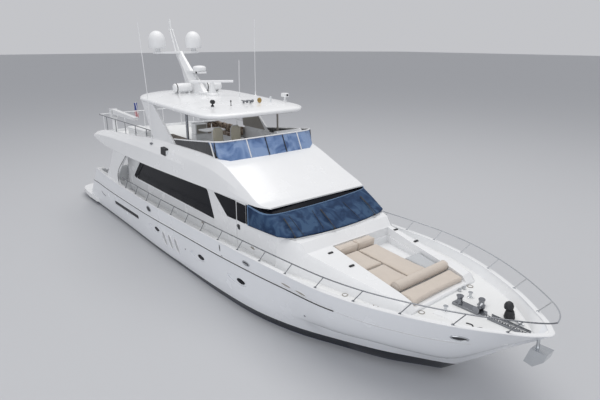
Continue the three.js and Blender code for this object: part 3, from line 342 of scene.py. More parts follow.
# Dark rubber for seals, wipers, lamps and gear, and painted shade where it fills fairlead mouths and slots in the
# hull.
DARK_RUBBER_AND_SHADE = moulded("dark_rubber_and_painted_shade", (0.025, 0.026, 0.03), rough=0.55, coat=0, patch=4.0, spread=0.2, grain=90.0, bump=0.2)
CANVAS = woven("beige_canvas", (0.63, 0.56, 0.49), 260.0)
GREY_PAD = woven("grey_canvas", (0.52, 0.54, 0.56), 260.0)
CREAM = moulded("cream_vinyl", (0.66, 0.62, 0.50), rough=0.5, coat=0.1, patch=2.5, spread=0.05, grain=140.0,
                bump=0.35)
PATTERN = mottled("brown_pattern", ((0.05, 0.03, 0.022), (0.13, 0.085, 0.06), (0.30, 0.22, 0.16),
                                    (0.42, 0.34, 0.26)), 9.0)
# Navy mesh cover: its colour drifts a little as cloth does, and its lighter blots are painted highlights.
MESH = dull(mottled("navy_mesh", ((0.014, 0.036, 0.088), (0.022, 0.052, 0.118), (0.030, 0.066, 0.140),
                                  (0.045, 0.092, 0.175)), 2.2, 0.7, 0.0), 0.2)
HEM = woven("blue_hem", (0.12, 0.22, 0.38), 300.0)
FLAG = striped("flag_cloth")
LENS = moulded("lamp_lens", (0.75, 0.78, 0.8), rough=0.1, coat=1.0, patch=8.0)

# The colour slot that goes with each finish, gelcoat where none is given.
SLOTS = {material.name: slot for slot, materials in (
    ("glass", (GLASS,)), ("tint", (SCREEN, MESH, HEM, FLAG)), ("steel", (STEEL, DARK_AND_SHADED_STEEL)), ("bronze", (BRASS,)),
    ("dark", (DARK_RUBBER_AND_SHADE, VENT, LINING_AND_SHADE_GREY)), ("cushion", (CANVAS, GREY_PAD)), ("cream", (CREAM,)), ("brown", (PATTERN,)),
) for material in materials}


# Shape helpers

def lerp(a, b, t):
    return a + (b - a) * t


def eased(rows, x, column):
    """Value of one named column at x on a smooth curve through the rows."""
    last = len(rows) - 1
    i = max(0, min(last - 1, sum(row["x"] <= x for row in rows) - 1))
    x0, x1 = rows[i]["x"], rows[i + 1]["x"]
    y0, y1 = rows[i][column], rows[i + 1][column]

    def slope(k):
        a, b = rows[max(k - 1, 0)], rows[min(k + 1, last)]
        return (b[column] - a[column]) / (b["x"] - a["x"])

    span = x1 - x0
    t = max(0.0, min(1.0, (x - x0) / span))
    return ((2 * t**3 - 3 * t**2 + 1) * y0 + (t**3 - 2 * t**2 + t) * span * slope(i)
            + (3 * t**2 - 2 * t**3) * y1 + (t**3 - t**2) * span * slope(i + 1))


def row_at(rows, x):
    return {column: (x if column == "x" else eased(rows, x, column)) for column in rows[0]}


def steps(start_at, end_at, count):
    return [lerp(start_at, end_at, k / count) for k in range(count + 1)]


def smoothed(points, per=6):
    """Points along a smooth curve through the given ones."""
    pts = [Vector(p) for p in points]
    out = []
    for i in range(len(pts) - 1):
        a, b = pts[max(i - 1, 0)], pts[i]
        c, d = pts[i + 1], pts[min(i + 2, len(pts) - 1)]
        for k in range(per):
            t = k / per
            out.append(0.5 * (2 * b + (c - a) * t + (2 * a - 5 * b + 4 * c - d) * t * t
                              + (3 * b - a - 3 * c + d) * t**3))
    return out + [pts[-1]]


def rounded(points, radius, count=4, closed=True):
    """Outline with its corners rounded by short curves."""
    out = []
    last = len(points)
    for i, p in enumerate(points):
        p = Vector(p)
        if not closed and i in (0, last - 1):
            out.append(p)
            continue
        before, after = Vector(points[i - 1]), Vector(points[(i + 1) % last])
        first = p.lerp(before, min(radius / max((before - p).length, 1e-6), 0.45))
        second = p.lerp(after, min(radius / max((after - p).length, 1e-6), 0.45))
        for k in range(count + 1):
            t = k / count
            out.append(first.lerp(p, t).lerp(p.lerp(second, t), t))
    return out


def rect(x0, y0, x1, y1):
    return [(x0, y0), (x1, y0), (x1, y1), (x0, y1)]


def angles(count):
    return [2 * math.pi * k / count for k in range(count)]


def mesh_from(name, points, faces):
    mesh = bpy.data.meshes.new(name)
    mesh.from_pydata([tuple(p) for p in points], [], faces)
    bm = bmesh.new()
    bm.from_mesh(mesh)
    bmesh.ops.remove_doubles(bm, verts=bm.verts, dist=1e-5)
    bmesh.ops.dissolve_degenerate(bm, edges=bm.edges, dist=1e-6)
    bmesh.ops.recalc_face_normals(bm, faces=bm.faces)
    bm.to_mesh(mesh)
    bm.free()
    return mesh


def ring_faces(rings, count, closed_ring=True, closed_path=False):
    faces = []
    for r in range(rings if closed_path else rings - 1):
        for i in range(count if closed_ring else count - 1):
            here, ahead = r * count, ((r + 1) % rings) * count
            faces.append((here + i, here + (i + 1) % count, ahead + (i + 1) % count, ahead + i))
    return faces


def loft(name, rings, closed_path=False):
    """Closed skin over rings of equal length."""
    count = len(rings[0])
    faces = ring_faces(len(rings), count, closed_path=closed_path)
    if not closed_path:
        faces += [tuple(range(count)), tuple(range((len(rings) - 1) * count, len(rings) * count))]
    return mesh_from(name, [p for ring in rings for p in ring], faces)


def sweep(name, path, section, closed_path=False):
    """A section of (across, up) pairs carried along a path."""
    path = [Vector(p) for p in path]
    last = len(path) - 1
    rings = []
    for i, p in enumerate(path):
        before = path[i - 1] if (i or closed_path) else p
        after = path[(i + 1) % len(path)] if (i < last or closed_path) else p
        ahead = (after - before).normalized()
        across = Vector(Z).cross(ahead)
        if across.length < 0.2:
            across = Vector(Y).cross(ahead)
        across.normalize()
        up = ahead.cross(across)
        rings.append([p + across * a + up * b for a, b in section])
    return loft(name, rings, closed_path)


def tube(name, path, radius, sides=12, closed_path=False):
    return sweep(name, path, [(radius * math.cos(a), radius * math.sin(a)) for a in angles(sides)], closed_path)


def loop(name, path, radius, sides=8):
    return tube(name, path, radius, sides, closed_path=True)


def turned(name, profile, sides=40, centre=(0, 0, 0), turn=None):
    """Solid of revolution from (radius, height) pairs that start and end on the axis."""
    mesh = loft(name, [[Vector((r * math.cos(a), r * math.sin(a), z)) for a in angles(sides)] for r, z in profile])
    if turn:
        mesh.transform(turn)
    mesh.transform(Matrix.Translation(Vector(centre)))
    return mesh


def about(axis, degrees):
    return Matrix.Rotation(math.radians(degrees), 4, axis)


def prism(name, outline, low, high, way="z"):
    """Prism of an outline between two values along one axis."""
    def point(p, v):
        return (p[0], p[1], v) if way == "z" else (p[0], v, p[1])
    return loft(name, [[point(p, v) for p in outline] for v in (low, high)])


def block(name, low, high):
    return prism(name, rect(*low[:2], *high[:2]), low[2], high[2])


def placed(name, data):
    made = bpy.data.objects.new(name, data)
    bpy.context.scene.collection.objects.link(made)
    return made


def paint(mesh, *materials):
    mesh.materials.clear()
    for material in materials:
        mesh.materials.append(material)


def show(mesh, material, body="boat", slot=None, replaces=(), bevel=0.0, angle=32, segments=2, lift=DATUM_Z):
    """Puts a mesh in the scene as a piece, smooth-shaded up to an angle, and says what it rides on."""
    mesh.transform(Matrix.Translation((0, 0, lift)))
    made = placed(mesh.name, mesh)
    if not mesh.materials:
        mesh.materials.append(material)
    mesh.shade_smooth()
    if bevel:
        soften = made.modifiers.new("edges", "BEVEL")
        soften.width = bevel
        soften.segments = segments
        soften.limit_method = "ANGLE"
        soften.angle_limit = math.radians(angle)
        soften.harden_normals = True
    mesh.set_sharp_from_angle(angle=math.radians(angle))
    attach(made, body)
    slot or SLOTS.get(material.name, "gelcoat")
    if replaces:
        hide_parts(*replaces)
    return made


def cad_mesh(node):
    """The node's own solid with its flat areas whole again."""
    bm = bmesh.new()
    bm.from_mesh(frame["nodes"][node].data)
    bmesh.ops.remove_doubles(bm, verts=bm.verts, dist=2e-5)
    bmesh.ops.dissolve_limit(bm, angle_limit=math.radians(1.0), verts=bm.verts, edges=bm.edges)
    mesh = bpy.data.meshes.new(node + "_fine")
    bm.to_mesh(mesh)
    bm.free()
    return mesh


def dress(node, material, bevel=0.012, slot=None, angle=32, segments=2):
    """The node's solid with rounded edges and its finish."""
    body = frame["nodes"][node]["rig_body"]
    return show(cad_mesh(node), material, body, slot, (node,), bevel, angle, segments, 0)


def joined(name, meshes):
    bm = bmesh.new()
    for mesh in meshes:
        bm.from_mesh(mesh)
        bpy.data.meshes.remove(mesh)
    whole = bpy.data.meshes.new(name)
    bm.to_mesh(whole)
    bm.free()
    return whole


def evaluated_copy(holder):
    bpy.context.view_layer.update()
    return bpy.data.meshes.new_from_object(holder.evaluated_get(bpy.context.evaluated_depsgraph_get()))


def carved(mesh, cutters):
    """The mesh with the cutters taken out of it, one after the other."""
    holder = placed("carving", mesh)
    tools = []
    for cutter in cutters:
        tools.append(placed("tool", cutter))
        cut = holder.modifiers.new("cut", "BOOLEAN")
        cut.operation = "DIFFERENCE"
        cut.solver = "EXACT"
        cut.object = tools[-1]
    done = evaluated_copy(holder)
    done.name = mesh.name + "_cut"
    for tool in tools + [holder]:
        bpy.data.objects.remove(tool)
    return done


def both(points):
    """Outline on both sides of the centreline from its port half, centre to centre."""
    half = [Vector(p) for p in points]
    return half + [Vector((p[0], -p[1])) for p in reversed(half) if abs(p[1]) > 1e-6]


# Hull

# In both topsides: lens-shaped recesses with a small light in each, one long slot, and tall oval vents.
PORTHOLES = ((-3.98, 0.74), (0.28, 0.79), (3.16, 0.84))
HULL_SLOT = (-9.45, -5.95, 0.52, 0.75)
SIDE_VENTS = ((-2.91, 0.56), (-2.29, 0.58), (-1.68, 0.6))
RUB_RAIL = table("x z", (-13.0, 1.17), (-9.1, 1.19), (-4.9, 1.235), (-2.1, 1.33), (-0.2, 1.4), (1.8, 1.46),
                 (3.5, 1.535), (5.0, 1.58), (6.2, 1.61), (7.1, 1.63), (7.95, 1.65))


def deck_z(x):
    levels = ((-9, 1.6), (-4, 1.62), (0, 1.7), (4, 1.83), (7, 1.93), (13, 2.0))
    for (x0, z0), (x1, z1) in zip(levels, levels[1:]):
        if x <= x1:
            return lerp(z0, z1, max(0.0, (x - x0) / (x1 - x0)))
    return levels[-1][1]


def topside_y(row, z):
    t = max(0.0, min(1.0, (z - row["chineZ"]) / (row["sheerZ"] - row["chineZ"])))
    return row["chineY"] + (row["sheerY"] - row["chineY"]) * t ** row["flare"]


def hull_y(x, z):
    return topside_y(row_at(STATIONS, max(x, TRANSOM_X)), z)


def on_side(x, z, s, out=0.0):
    return Vector((x, s * (hull_y(x, z) + out), z))


def sheer_point(x, s, inset, lift):
    return Vector((x, s * (eased(STATIONS, x, "sheerY") - inset), eased(STATIONS, x, "sheerZ") + lift))


def hull_ring(row, x_of, narrow=1.0):
    half = [(0, row["keelZ"])]
    for t in (0.25, 0.5, 0.75, 1):
        half.append((row["bilgeY"] * t, lerp(row["keelZ"], row["bilgeZ"], t ** 1.08)))
    for t in (0.5, 1):
        half.append((lerp(row["bilgeY"], row["chineY"], t), lerp(row["bilgeZ"], row["chineZ"], t)))
    for t in (0.04, 0.1, 0.18, 0.28, 0.4, 0.52, 0.64, 0.76, 0.88, 1):
        z = lerp(row["chineZ"], row["sheerZ"], t)
        half.append((topside_y(row, z), z))
    port = [Vector((x_of(z), y * narrow, z)) for y, z in half]
    return port + [Vector((p.x, -p.y, p.z)) for p in reversed(port[1:])]


def raked_x(share, fore):
    """Places a ring between the sloping transom and an upright section ahead of it."""
    def x_of(z):
        transom = TRANSOM_TOP_X - (STATIONS[0]["sheerZ"] - max(z, -DATUM_Z)) * TRANSOM_SLOPE
        return lerp(transom, fore, share)
    return x_of


def deck_well():
    rings = []
    for x in [-8.6] + steps(-8.5, 11.9, 51) + [12.1, 12.3, 12.5, 12.62, 12.72, 12.8, 12.84]:
        row = row_at(STATIONS, x)
        z = max(deck_z(x), row["keelZ"] + 0.1)
        top_y = max(row["sheerY"] - CAP_WIDTH, 0.09)
        edge_y = min(max(topside_y(row, z) - DECK_EDGE, 0.06), top_y)
        half = [(edge_y - 0.05, z), (edge_y - 0.015, z + 0.015), (edge_y, z + 0.05), (top_y, row["sheerZ"]),
                (top_y, OPEN_Z)]
        rings.append([Vector((x, y, h)) for y, h in half] + [Vector((x, -y, h)) for y, h in reversed(half)])
    return loft("deck_well", rings)


def make_hull():
    fore = -10.0
    rings = []
    for share, narrow in ((0, 0.988), (0.012, 1), (0.25, 1), (0.5, 1), (0.75, 1)):
        row = row_at(STATIONS, lerp(TRANSOM_X, fore, share))
        rings.append(hull_ring(row, raked_x(share, fore), narrow))
    for x in steps(fore, 8.0, 36) + steps(8.3, 12.95, 22):
        rings.append(hull_ring(row_at(STATIONS, x), lambda z, x=x: x))
    rings.append(hull_ring(STATIONS[-1], lambda z: 13.0, 0.35))
    house = both([(-8.301, 2.501), (4.97, 2.501), (5.45, 2.11), (5.64, 1.1), (5.7, 0)])
    cockpit = rounded(rect(-11.8, -2.86, -8.3, 2.86), 0.05)
    cutters = [deck_well(), prism("cockpit_well", cockpit, SOLE_Z, OPEN_Z),
               prism("house_floor", house, SOLE_Z, OPEN_Z)]
    for _, s in SIDES:
        cutters.append(block("stern_way", (-14, s * 2.25 - 0.35, SOLE_Z), (-11.79, s * 2.25 + 0.35, OPEN_Z)))
    recesses = [(lens_outline(x, z), 0.045) for x, z in PORTHOLES]
    recesses += [(leaning(x, z), 0.07) for x, z in SIDE_VENTS] + [(slot_outline(*HULL_SLOT), 0.03)]
    cutters += [slab("recess", outline, s, -depth, 0.1) for outline, depth in recesses for _, s in SIDES]
    mesh = carved(loft("hull_shell", rings), cutters)
    paint(mesh, HULL, DECK, WHITE)
    for face in mesh.polygons:
        x, y, z = face.center.x, abs(face.center.y), face.center.z
        if face.normal.z > 0.9 and z > 1.0:
            face.material_index = 1
        elif z > 1.1 and ((-8.6 < x < 12.6 and y < hull_y(x, z) - 0.06) or (-14.2 < x < -8.2 and y < 2.9)):
            face.material_index = 2
    show(mesh, HULL, replaces=("hull",), angle=28)


def oval(x, z, half_long, half_high, slope=0.0, sides=20):
    return [(x + half_long * math.cos(a), z + half_high * math.sin(a) + slope * half_long * math.cos(a))
            for a in angles(sides)]


def leaning(x, z):
    """Outline of one tall oval vent, its top leaning aft."""
    return [(x + 0.17 * math.cos(a) - 0.09 * math.sin(a), z + 0.33 * math.sin(a)) for a in angles(24)]


def lens_outline(x, z, half_long=0.62, half_high=0.17):
    return [(x + half_long * math.cos(a), z + half_high * math.sin(a) * abs(math.sin(a)) ** 0.2) for a in angles(28)]


def slot_outline(x0, x1, z0, z1, radius=0.11):
    return rounded([(x0, z0), (x1, z0 + 0.06), (x1, z1 + 0.06), (x0, z1)], radius, 5)


def slab(name, outline, s, low, high):
    """Slab over an outline on the topside, between two distances out from it."""
    return loft(name, [[on_side(x, z, s, out) for x, z in outline] for out in (low, high)])


def rim(name, outline, s, out, radius, sides=8):
    return loop(name, [on_side(x, z, s, out) for x, z in outline], radius, sides)


def make_hull_trim():
    xs = steps(-12.1, 12.4, 98) + steps(12.45, 12.88, 5)
    cap = [(-0.075, -0.005), (-0.075, 0.012), (-0.06, 0.024), (0.06, 0.024), (0.075, 0.012), (0.075, -0.005)]
    nose = [Vector((x, y, 2.28)) for x, y in ((12.945, 0.115), (12.97, 0.06), (12.978, 0), (12.97, -0.06),
                                              (12.945, -0.115))]
    port, stbd = ([sheer_point(x, s, 0.063, 0.0) for x in xs] for _, s in SIDES)
    show(sweep("cap_rail", port + nose + stbd[::-1], cap), WHITE)
    x0, x1, z0, z1 = HULL_SLOT
    for side, s in SIDES:
        rub = [on_side(x, eased(RUB_RAIL, x, "z"), s, 0.004) for x in steps(-12.9, 8.0, 84)]
        section = [(-0.02, -0.035), (0.022, -0.03), (0.03, 0), (0.022, 0.03), (-0.02, 0.035)]
        show(sweep(f"rub_rail_{side}", rub, [(a * s, b) for a, b in section]), WHITE)
        show(tube(f"rub_insert_{side}", [Vector((p.x, p.y + s * 0.026, p.z)) for p in rub], 0.019, 8), DARK_RUBBER_AND_SHADE)
        for k, (x, z) in enumerate(PORTHOLES):
            show(slab(f"port_light_{side}_{k}", lens_outline(x + 0.2, z, 0.25, 0.1), s, -0.042, -0.03), GLASS)
        pane = slot_outline(x0 + 0.03, x1 - 0.03, z0 + 0.03, z1 - 0.03, 0.09)
        show(slab(f"hull_window_{side}_0", pane, s, -0.024, -0.012), GLASS)


def make_hull_fittings():
    """Vents, fairleads and drains in the topsides, and the knuckle that runs on from the rub rail to the stem."""
    for side, s in SIDES:
        ridge = [on_side(x, z, s) for x, z in ((7.95, 1.65), (8.6, 1.63), (9.35, 1.61), (10.45, 1.62), (11.3, 1.635),
                                               (12.1, 1.665))]
        section = [(-0.02, -0.045), (0.014, 0.0), (-0.02, 0.01), (-0.03, -0.02)]
        show(sweep(f"knuckle_{side}", smoothed(ridge), [(a * s, b) for a, b in section]), WHITE)
        for k, (x, z) in enumerate(SIDE_VENTS):
            show(rim(f"side_vent_{side}_{k}", leaning(x, z), s, 0.002, 0.026), SATIN)
            # Painted shade: the vent's floor is grey for the shade inside its recess.
            show(slab(f"side_vent_floor_{side}_{k}", leaning(x, z), s, -0.06, -0.05), VENT)
        for name, x, z, long, high in (("fairlead", 3.94, 1.81, 0.2, 0.075),
                                       ("bow_fairlead", 11.28, 1.83, 0.18, 0.08),
                                       ("aft_fairlead", -4.33, 1.62, 0.22, 0.13)):
            show(rim(f"{name}_ring_{side}", oval(x, z, long, high), s, 0.008, 0.022, 10), STEEL)
            # Painted shade: the fairlead's mouth is a dark disc for the shaded opening inside its steel ring.
            show(slab(f"{name}_mouth_{side}", oval(x, z, long, high), s, -0.006, 0.006), DARK_RUBBER_AND_SHADE)
        show(tube(f"fairlead_horn_{side}", [on_side(x, 1.79, s, 0.02) for x in (3.85, 4.03)], 0.018), STEEL)
        # Painted shade: the side slot is a dark disc for its shaded opening.
        show(slab(f"side_slot_{side}", oval(2.21, 1.82, 0.03, 0.14), s, -0.006, 0.006), DARK_RUBBER_AND_SHADE)
        for k, (x, z) in enumerate(((-0.83, 0.72), (2.3, 1.51), (2.84, 1.5), (6.51, 0.73))):
            show(slab(f"drain_{side}_{k}", oval(x, z, 0.035, 0.035, sides=12), s, -0.006, 0.008), DARK_AND_SHADED_STEEL)
        # Painted shade: each shallow recess is a white rim round a flat grey floor for the shade inside it.
        for k, (x, z) in enumerate(((6.04, 1.775), (6.71, 1.76))):
            show(rim(f"side_recess_{side}_{k}", oval(x, z, 0.24, 0.055, -0.03), s, 0.003, 0.014), WHITE)
            show(slab(f"side_recess_floor_{side}_{k}", oval(x, z, 0.23, 0.05, -0.03), s, -0.005, 0.005), LINING_AND_SHADE_GREY)
        vent = smoothed([(-11.68, 0, 0.74), (-11.5, 0, 0.66), (-11.28, 0, 0.61), (-11.05, 0, 0.59)], 4)
        show(tube(f"stern_vent_{side}", [on_side(p.x, p.z, s, 0.012) for p in vent], 0.022, 8), DARK_AND_SHADED_STEEL)


# Superstructure

def fly_ring(x):
    row = row_at(FLY_SECTIONS, x)
    profile = [(0, row["edgeZ"]), (row["edgeY"], row["edgeZ"]), (row["lowY"], row["lowZ"]),
               (row["highY"], row["highZ"]), (row["topY"], row["topZ"]), (0, row["topZ"])]
    edge = rounded(profile[:3], 0.03, 3, closed=False)[:-1]
    lip = rounded(profile[3:], 0.03, 3, closed=False)[1:]
    port = [Vector((x, y, z)) for y, z in edge + [Vector(profile[2]), Vector(profile[3])] + lip]
    return port + [Vector((x, -p.y, p.z)) for p in reversed(port[1:-1])]


def make_upper_deck():
    rings = [fly_ring(x) for x in steps(-11.9, 3.0, 60) + steps(3.1, 4.31, 14)]
    outline = both([(1.05, 0), (1.03, 1.9), (0.8, 2.24), (0.6, 2.33), (-2.4, 2.41), (-4.7, 2.45), (-11.75, 2.53),
                    (-11.75, 0)])
    mesh = carved(loft("upper_deck_shell", rings), [prism("fly_well", rounded(outline, 0.12, 3), FLY_FLOOR_Z, 6)])
    paint(mesh, WHITE, DECK)
    for face in mesh.polygons:
        if face.normal.z > 0.98 and abs(face.center.z - FLY_FLOOR_Z) < 0.02:
            face.material_index = 1
    show(mesh, WHITE, replaces=("upper_deck",), angle=9.5)


def roof_z(x, at=6.77):
    """Height at x of the roof's layer that lies at the given height at x -2.5."""
    return at - ROOF_SLOPE * (x + 2.5)


def make_hardtop():
    middle, half_long, half_wide = -3.25, 4.05, 2.58
    half = [(p.x, p.y) for p in smoothed([(x, y, 0) for x, y in HARDTOP_HALF], 5)]
    rings = []
    for z, inset in HARDTOP_LAYERS:
        ring = []
        for x, y in both(half):
            px = middle + (x - middle) * (1 - inset / half_long)
            ring.append(Vector((px, y * (1 - inset / half_wide), roof_z(px, z))))
        rings.append(ring)
    show(loft("hardtop_shell", rings), WHITE, replaces=("hardtop",), angle=50)
    # Painted shade: the port post is white gelcoat coloured grey lining, and the starboard post is darker steel like
    # the shaded starboard rails.
    for side, s, radius, finish, slot in (("port", 1, 0.045, LINING_AND_SHADE_GREY, "gelcoat"),
                                          ("stbd", -1, 0.055, DARK_AND_SHADED_STEEL, "steel")):
        post = [(-1.4, s * 2.33, FLY_FLOOR_Z), (-1.4, s * 2.33, 6.43)]
        show(tube(f"hardtop_post_{side}", post, radius, 20), finish, slot=slot)
    foot = [(0, 6.6), (0.08, 6.6), (0.075, 6.685), (0.06, 6.69), (0, 6.69)]
    show(turned("lamp_foot", foot, 32, (-0.4, -1.66, 0)), WHITE)


def window_pane(name, outline, s, out, thick=0.008):
    return prism(name, outline, s * (out - thick), s * out, "y")


def make_house():
    dress("house", WHITE, 0.02)
    windows = (
        ("saloon_window", [(-7.18, 2.41), (0.8, 2.43), (0.31, 3.56), (-5.83, 3.56)], 0.1),
        ("quarter_window", [(-7.53, 2.49), (-7.3, 2.38), (-7.23, 2.42), (-5.89, 3.56), (-6.36, 3.56)], 0.05),
        ("bridge_window", [(1.79, 2.83), (2.43, 2.855), (2.43, 3.62), (0.84, 3.57)], 0.06),
        ("fixed_window", rect(3.105, 2.89, 3.252, 3.64), 0.02),
    )
    surround = rounded([(-7.56, 2.47), (-7.3, 2.35), (0.84, 2.395), (0.34, 3.59), (-6.38, 3.59)], 0.08, 5)
    seal = smoothed([(-6.9, 3.7), (-7.5, 3.27), (-8.04, 2.86), (-8.3, 2.56), (-8.39, 2.3), (-8.32, 1.98)], 5)
    liner = rounded([(-4.6, 5.0), (-2.62, 5.0), (-3.35, 5.8), (-4.6, 5.8)], 0.05, 3)
    door_pane = rounded([(2.472, 2.86), (3.074, 2.885), (3.074, 3.585), (2.472, 3.585)], 0.04, 5)
    for side, s in SIDES:
        door = f"side_door_{side}"
        for name, outline, corner in windows:
            show(window_pane(f"{name}_{side}", rounded(outline, corner, 5), s, WALL_Y + 0.005), GLASS, bevel=0.003)
        show(loop(f"saloon_frame_{side}", [(x, s * WALL_Y, z) for x, z in surround], 0.014), SATIN)
        dress(door, WHITE, 0.006)
        show(window_pane(f"door_window_{side}", door_pane, s, 2.491, 0.02), GLASS, door)
        handle = [(2.51, s * 2.485, 2.68), (2.51, s * 2.53, 2.68), (2.63, s * 2.53, 2.56), (2.63, s * 2.485, 2.56)]
        show(tube(f"door_handle_{side}", smoothed(handle, 5), 0.013), DARK_AND_SHADED_STEEL, door)
        show(window_pane(f"door_lock_{side}", rounded(rect(2.49, 2.52, 2.66, 2.72), 0.04, 4), s, 2.494), DARK_RUBBER_AND_SHADE, door)
        paint(frame["nodes"][f"side_glass_{side}"].data, GLASS)
        dress(f"saloon_door_{side}", GLASS, 0.004)
        dress(f"side_wing_{side}", WHITE, 0.01)
        show(tube(f"wing_seal_{side}", [(x, s * 3.072, z) for x, z in seal], 0.016, 8), DARK_RUBBER_AND_SHADE)
        dress(f"arch_{side}", WHITE, 0.02)
        show(prism(f"arch_liner_{side}", liner, s * 2.467, s * 2.456, "y"), LINING_AND_SHADE_GREY, slot="cream", bevel=0.003)
        dress(f"transom_gate_{side}", WHITE, 0.008)


# Windscreen columns from the side to the centreline: foot, head, and height of the foot.
SCREEN_COLUMNS = (((3.27, 2.495), (3.27, 2.495), 2.864), ((4.96, 2.495), (3.83, 2.42), 2.973),
                  ((5.435, 2.105), (4.13, 2.18), 2.973), ((5.625, 1.095), (4.24, 1.1), 2.973),
                  ((5.685, 0), (4.27, 0), 2.973))


def screen_column(low, high, z):
    out = 0.02
    return tuple(Vector((x + out, y + math.copysign(out, y) * (y != 0), at + out))
                 for (x, y), at in ((low, z), (high, BROW_Z)))


def make_windscreen():
    """The pilothouse glass, its stretched mesh cover with hem, ends, folds and seams, and the wipers."""
    dress("windscreen", GLASS, 0.004)
    half = [screen_column(*c) for c in SCREEN_COLUMNS]
    columns = half + [(Vector((a.x, -a.y, a.z)), Vector((b.x, -b.y, b.z))) for a, b in reversed(half[:-1])]
    lows, highs = (smoothed(ends, 5) for ends in zip(*columns))
    reach = [0.9 - (0.1 - 0.02 * low.y) * min(1, (low - lows[0]).length / 1.6, (low - lows[-1]).length / 1.6)
             for low in lows]
    points = []
    for low, high, top in zip(lows, highs, reach):
        side = abs(low.y) > 2.2
        for t in steps(0.01, top, 14):
            p = low.lerp(high, t)
            out = Vector((p.x - 2.0, p.y * (1 if side else 0.3), 0)).normalized()
            ripple = 0.007 * math.sin(9.3 * p.x + 7 * t + 4 * p.y) * math.sin(6.1 * p.y + 1.7 + 5 * t)
            points.append(p + out * (ripple + 0.012 * math.sin(math.pi * t / top)))
    sheet = mesh_from("screen_cover", points, ring_faces(len(lows), 15, closed_ring=False))
    cover = show(sheet, MESH, angle=60)
    thick = cover.modifiers.new("thickness", "SOLIDIFY")
    thick.thickness = 0.004
    thick.offset = 1
    hem = [low.lerp(high, top) for low, high, top in zip(lows, highs, reach)]
    hem_section = [(-0.008, -0.03), (0.014, -0.03), (0.016, 0.028), (-0.008, 0.028)]
    on_it = [show(sweep("screen_cover_hem", hem, hem_section), HEM)]

    def at(y, t):
        """Point on the cover nearest to y, at a share of its height. Ahead of the doors, the front counts first."""
        i = min(range(len(lows)), key=lambda k: abs(lows[k].lerp(highs[k], t).y - y)
                + (0 if abs(y) < 2.3 or lows[k].x > 3.6 else 1))
        p = lows[i].lerp(highs[i], t)
        return Vector((p.x + 0.026, y, p.z + 0.018))

    for (side, s), i in zip(SIDES, (0, -1)):
        end = [lows[i].lerp(highs[i], t) for t in (0.0, 0.45, 0.9)]
        strip = [Vector((p.x - 0.02, p.y + s * 0.006, p.z)) for p in end]
        on_it.append(show(tube(f"screen_cover_end_{side}", strip, 0.024, 8), HEM))
        fold = smoothed([(4.27, s * 2.375, 3.5), (4.2, s * 2.45, 3.34), (4.12, s * 2.505, 3.15),
                         (4.06, s * 2.515, 3.0)], 5)
        radii = steps(0.03, 0.008, len(fold) - 1)
        rings = [[p + Vector((math.cos(a), s * 0.4 * math.sin(a), 0.3 * math.sin(a))) * radius for a in angles(10)]
                 for p, radius in zip(fold, radii)]
        on_it.append(show(loft(f"screen_cover_fold_{side}", rings), MESH))
    seams = ((-0.8, 0.66, -0.93, 0.1), (0.7, 0.66, 0.8, 0.06), (-1.78, 0.66, -1.8, 0.03), (1.75, 0.66, 1.78, 0.03))
    for k, (y0, t0, y1, t1) in enumerate(seams):
        seam = [at(lerp(y0, y1, u), lerp(t0, t1, u)) for u in steps(0, 1, 6)]
        on_it.append(show(tube(f"screen_cover_seam_{k}", seam, 0.007, 8), DARK_RUBBER_AND_SHADE))
    width = sum((a - b).length for a, b in zip(lows, lows[1:]))
    beside = Vector((0, 0.03, 0))
    hub = [(0, 0), (0.04, 0), (0.035, 0.05), (0.015, 0.07), (0, 0.07)]
    for k, (y0, t0, y1, t1) in enumerate(((-2.13, 0.03, -2.07, 0.6), (-0.56, 0.03, -0.5, 0.62),
                                          (1.58, 0.03, 1.66, 0.66))):
        foot, tip = at(y0, t0) + Vector((0.03, 0, 0.03)), at(y1, t1) + Vector((0.02, 0, 0.02))
        arm = [foot, foot.lerp(tip, 0.5) + Vector((0.02, 0, 0.02)), tip]
        show(tube(f"wiper_arm_{k}", arm, 0.012, 8), DARK_RUBBER_AND_SHADE)
        show(tube(f"wiper_blade_{k}", [foot.lerp(tip, 0.35) + beside, tip + beside], 0.014, 8), DARK_RUBBER_AND_SHADE)
        show(turned(f"wiper_post_{k}", hub, 20, foot - Vector((0, 0, 0.05))), DARK_RUBBER_AND_SHADE)


def make_fly_screen():
    panes = cad_mesh("fly_screen")
    paint(panes, SCREEN, SMOKE)
    for face in panes.polygons:
        face.material_index = 1 if face.center.x < 0.86 and abs(face.center.y) > 2.2 else 0
    show(panes, SCREEN, replaces=("fly_screen",), bevel=0.003, lift=0)
    top = [(-2.48, 2.455, 5.16), (-1.1, 2.45, 5.31), (0.45, 2.43, 5.49), (0.85, 2.38, 5.53), (1.04, 1.9, 5.53),
           (1.07, 0, 5.53)]
    run = top + [(x, -y, z) for x, y, z in reversed(top[:-1])]
    show(tube("screen_rail", smoothed(run), 0.028), WHITE)
    for k, (y, finish, radius) in enumerate(((-1.06, SATIN, 0.024), (-0.18, DARK_RUBBER_AND_SHADE, 0.02), (0.71, DARK_RUBBER_AND_SHADE, 0.02),
                                             (1.49, SATIN, 0.024))):
        path = [(1.43 - 0.02 * abs(y), y, 4.84), (1.09 - 0.02 * abs(y), y, 5.52)]
        show(tube(f"screen_mullion_{k}", path, radius, 8), finish)
    for side, s in SIDES:
        pillar = [(0.66, s * 2.44, 5.5), (0.78, s * 2.45, 5.3), (0.9, s * 2.44, 5.0), (0.94, s * 2.42, 4.86)]
        show(tube(f"screen_pillar_{side}", smoothed(pillar, 4), 0.03), SATIN)
        show(tube(f"screen_bar_{side}", [(0.88, s * 2.4, 5.51), (0.98, s * 2.4, 4.9)], 0.02, 8), DARK_RUBBER_AND_SHADE)


# Gear on the roof and mast

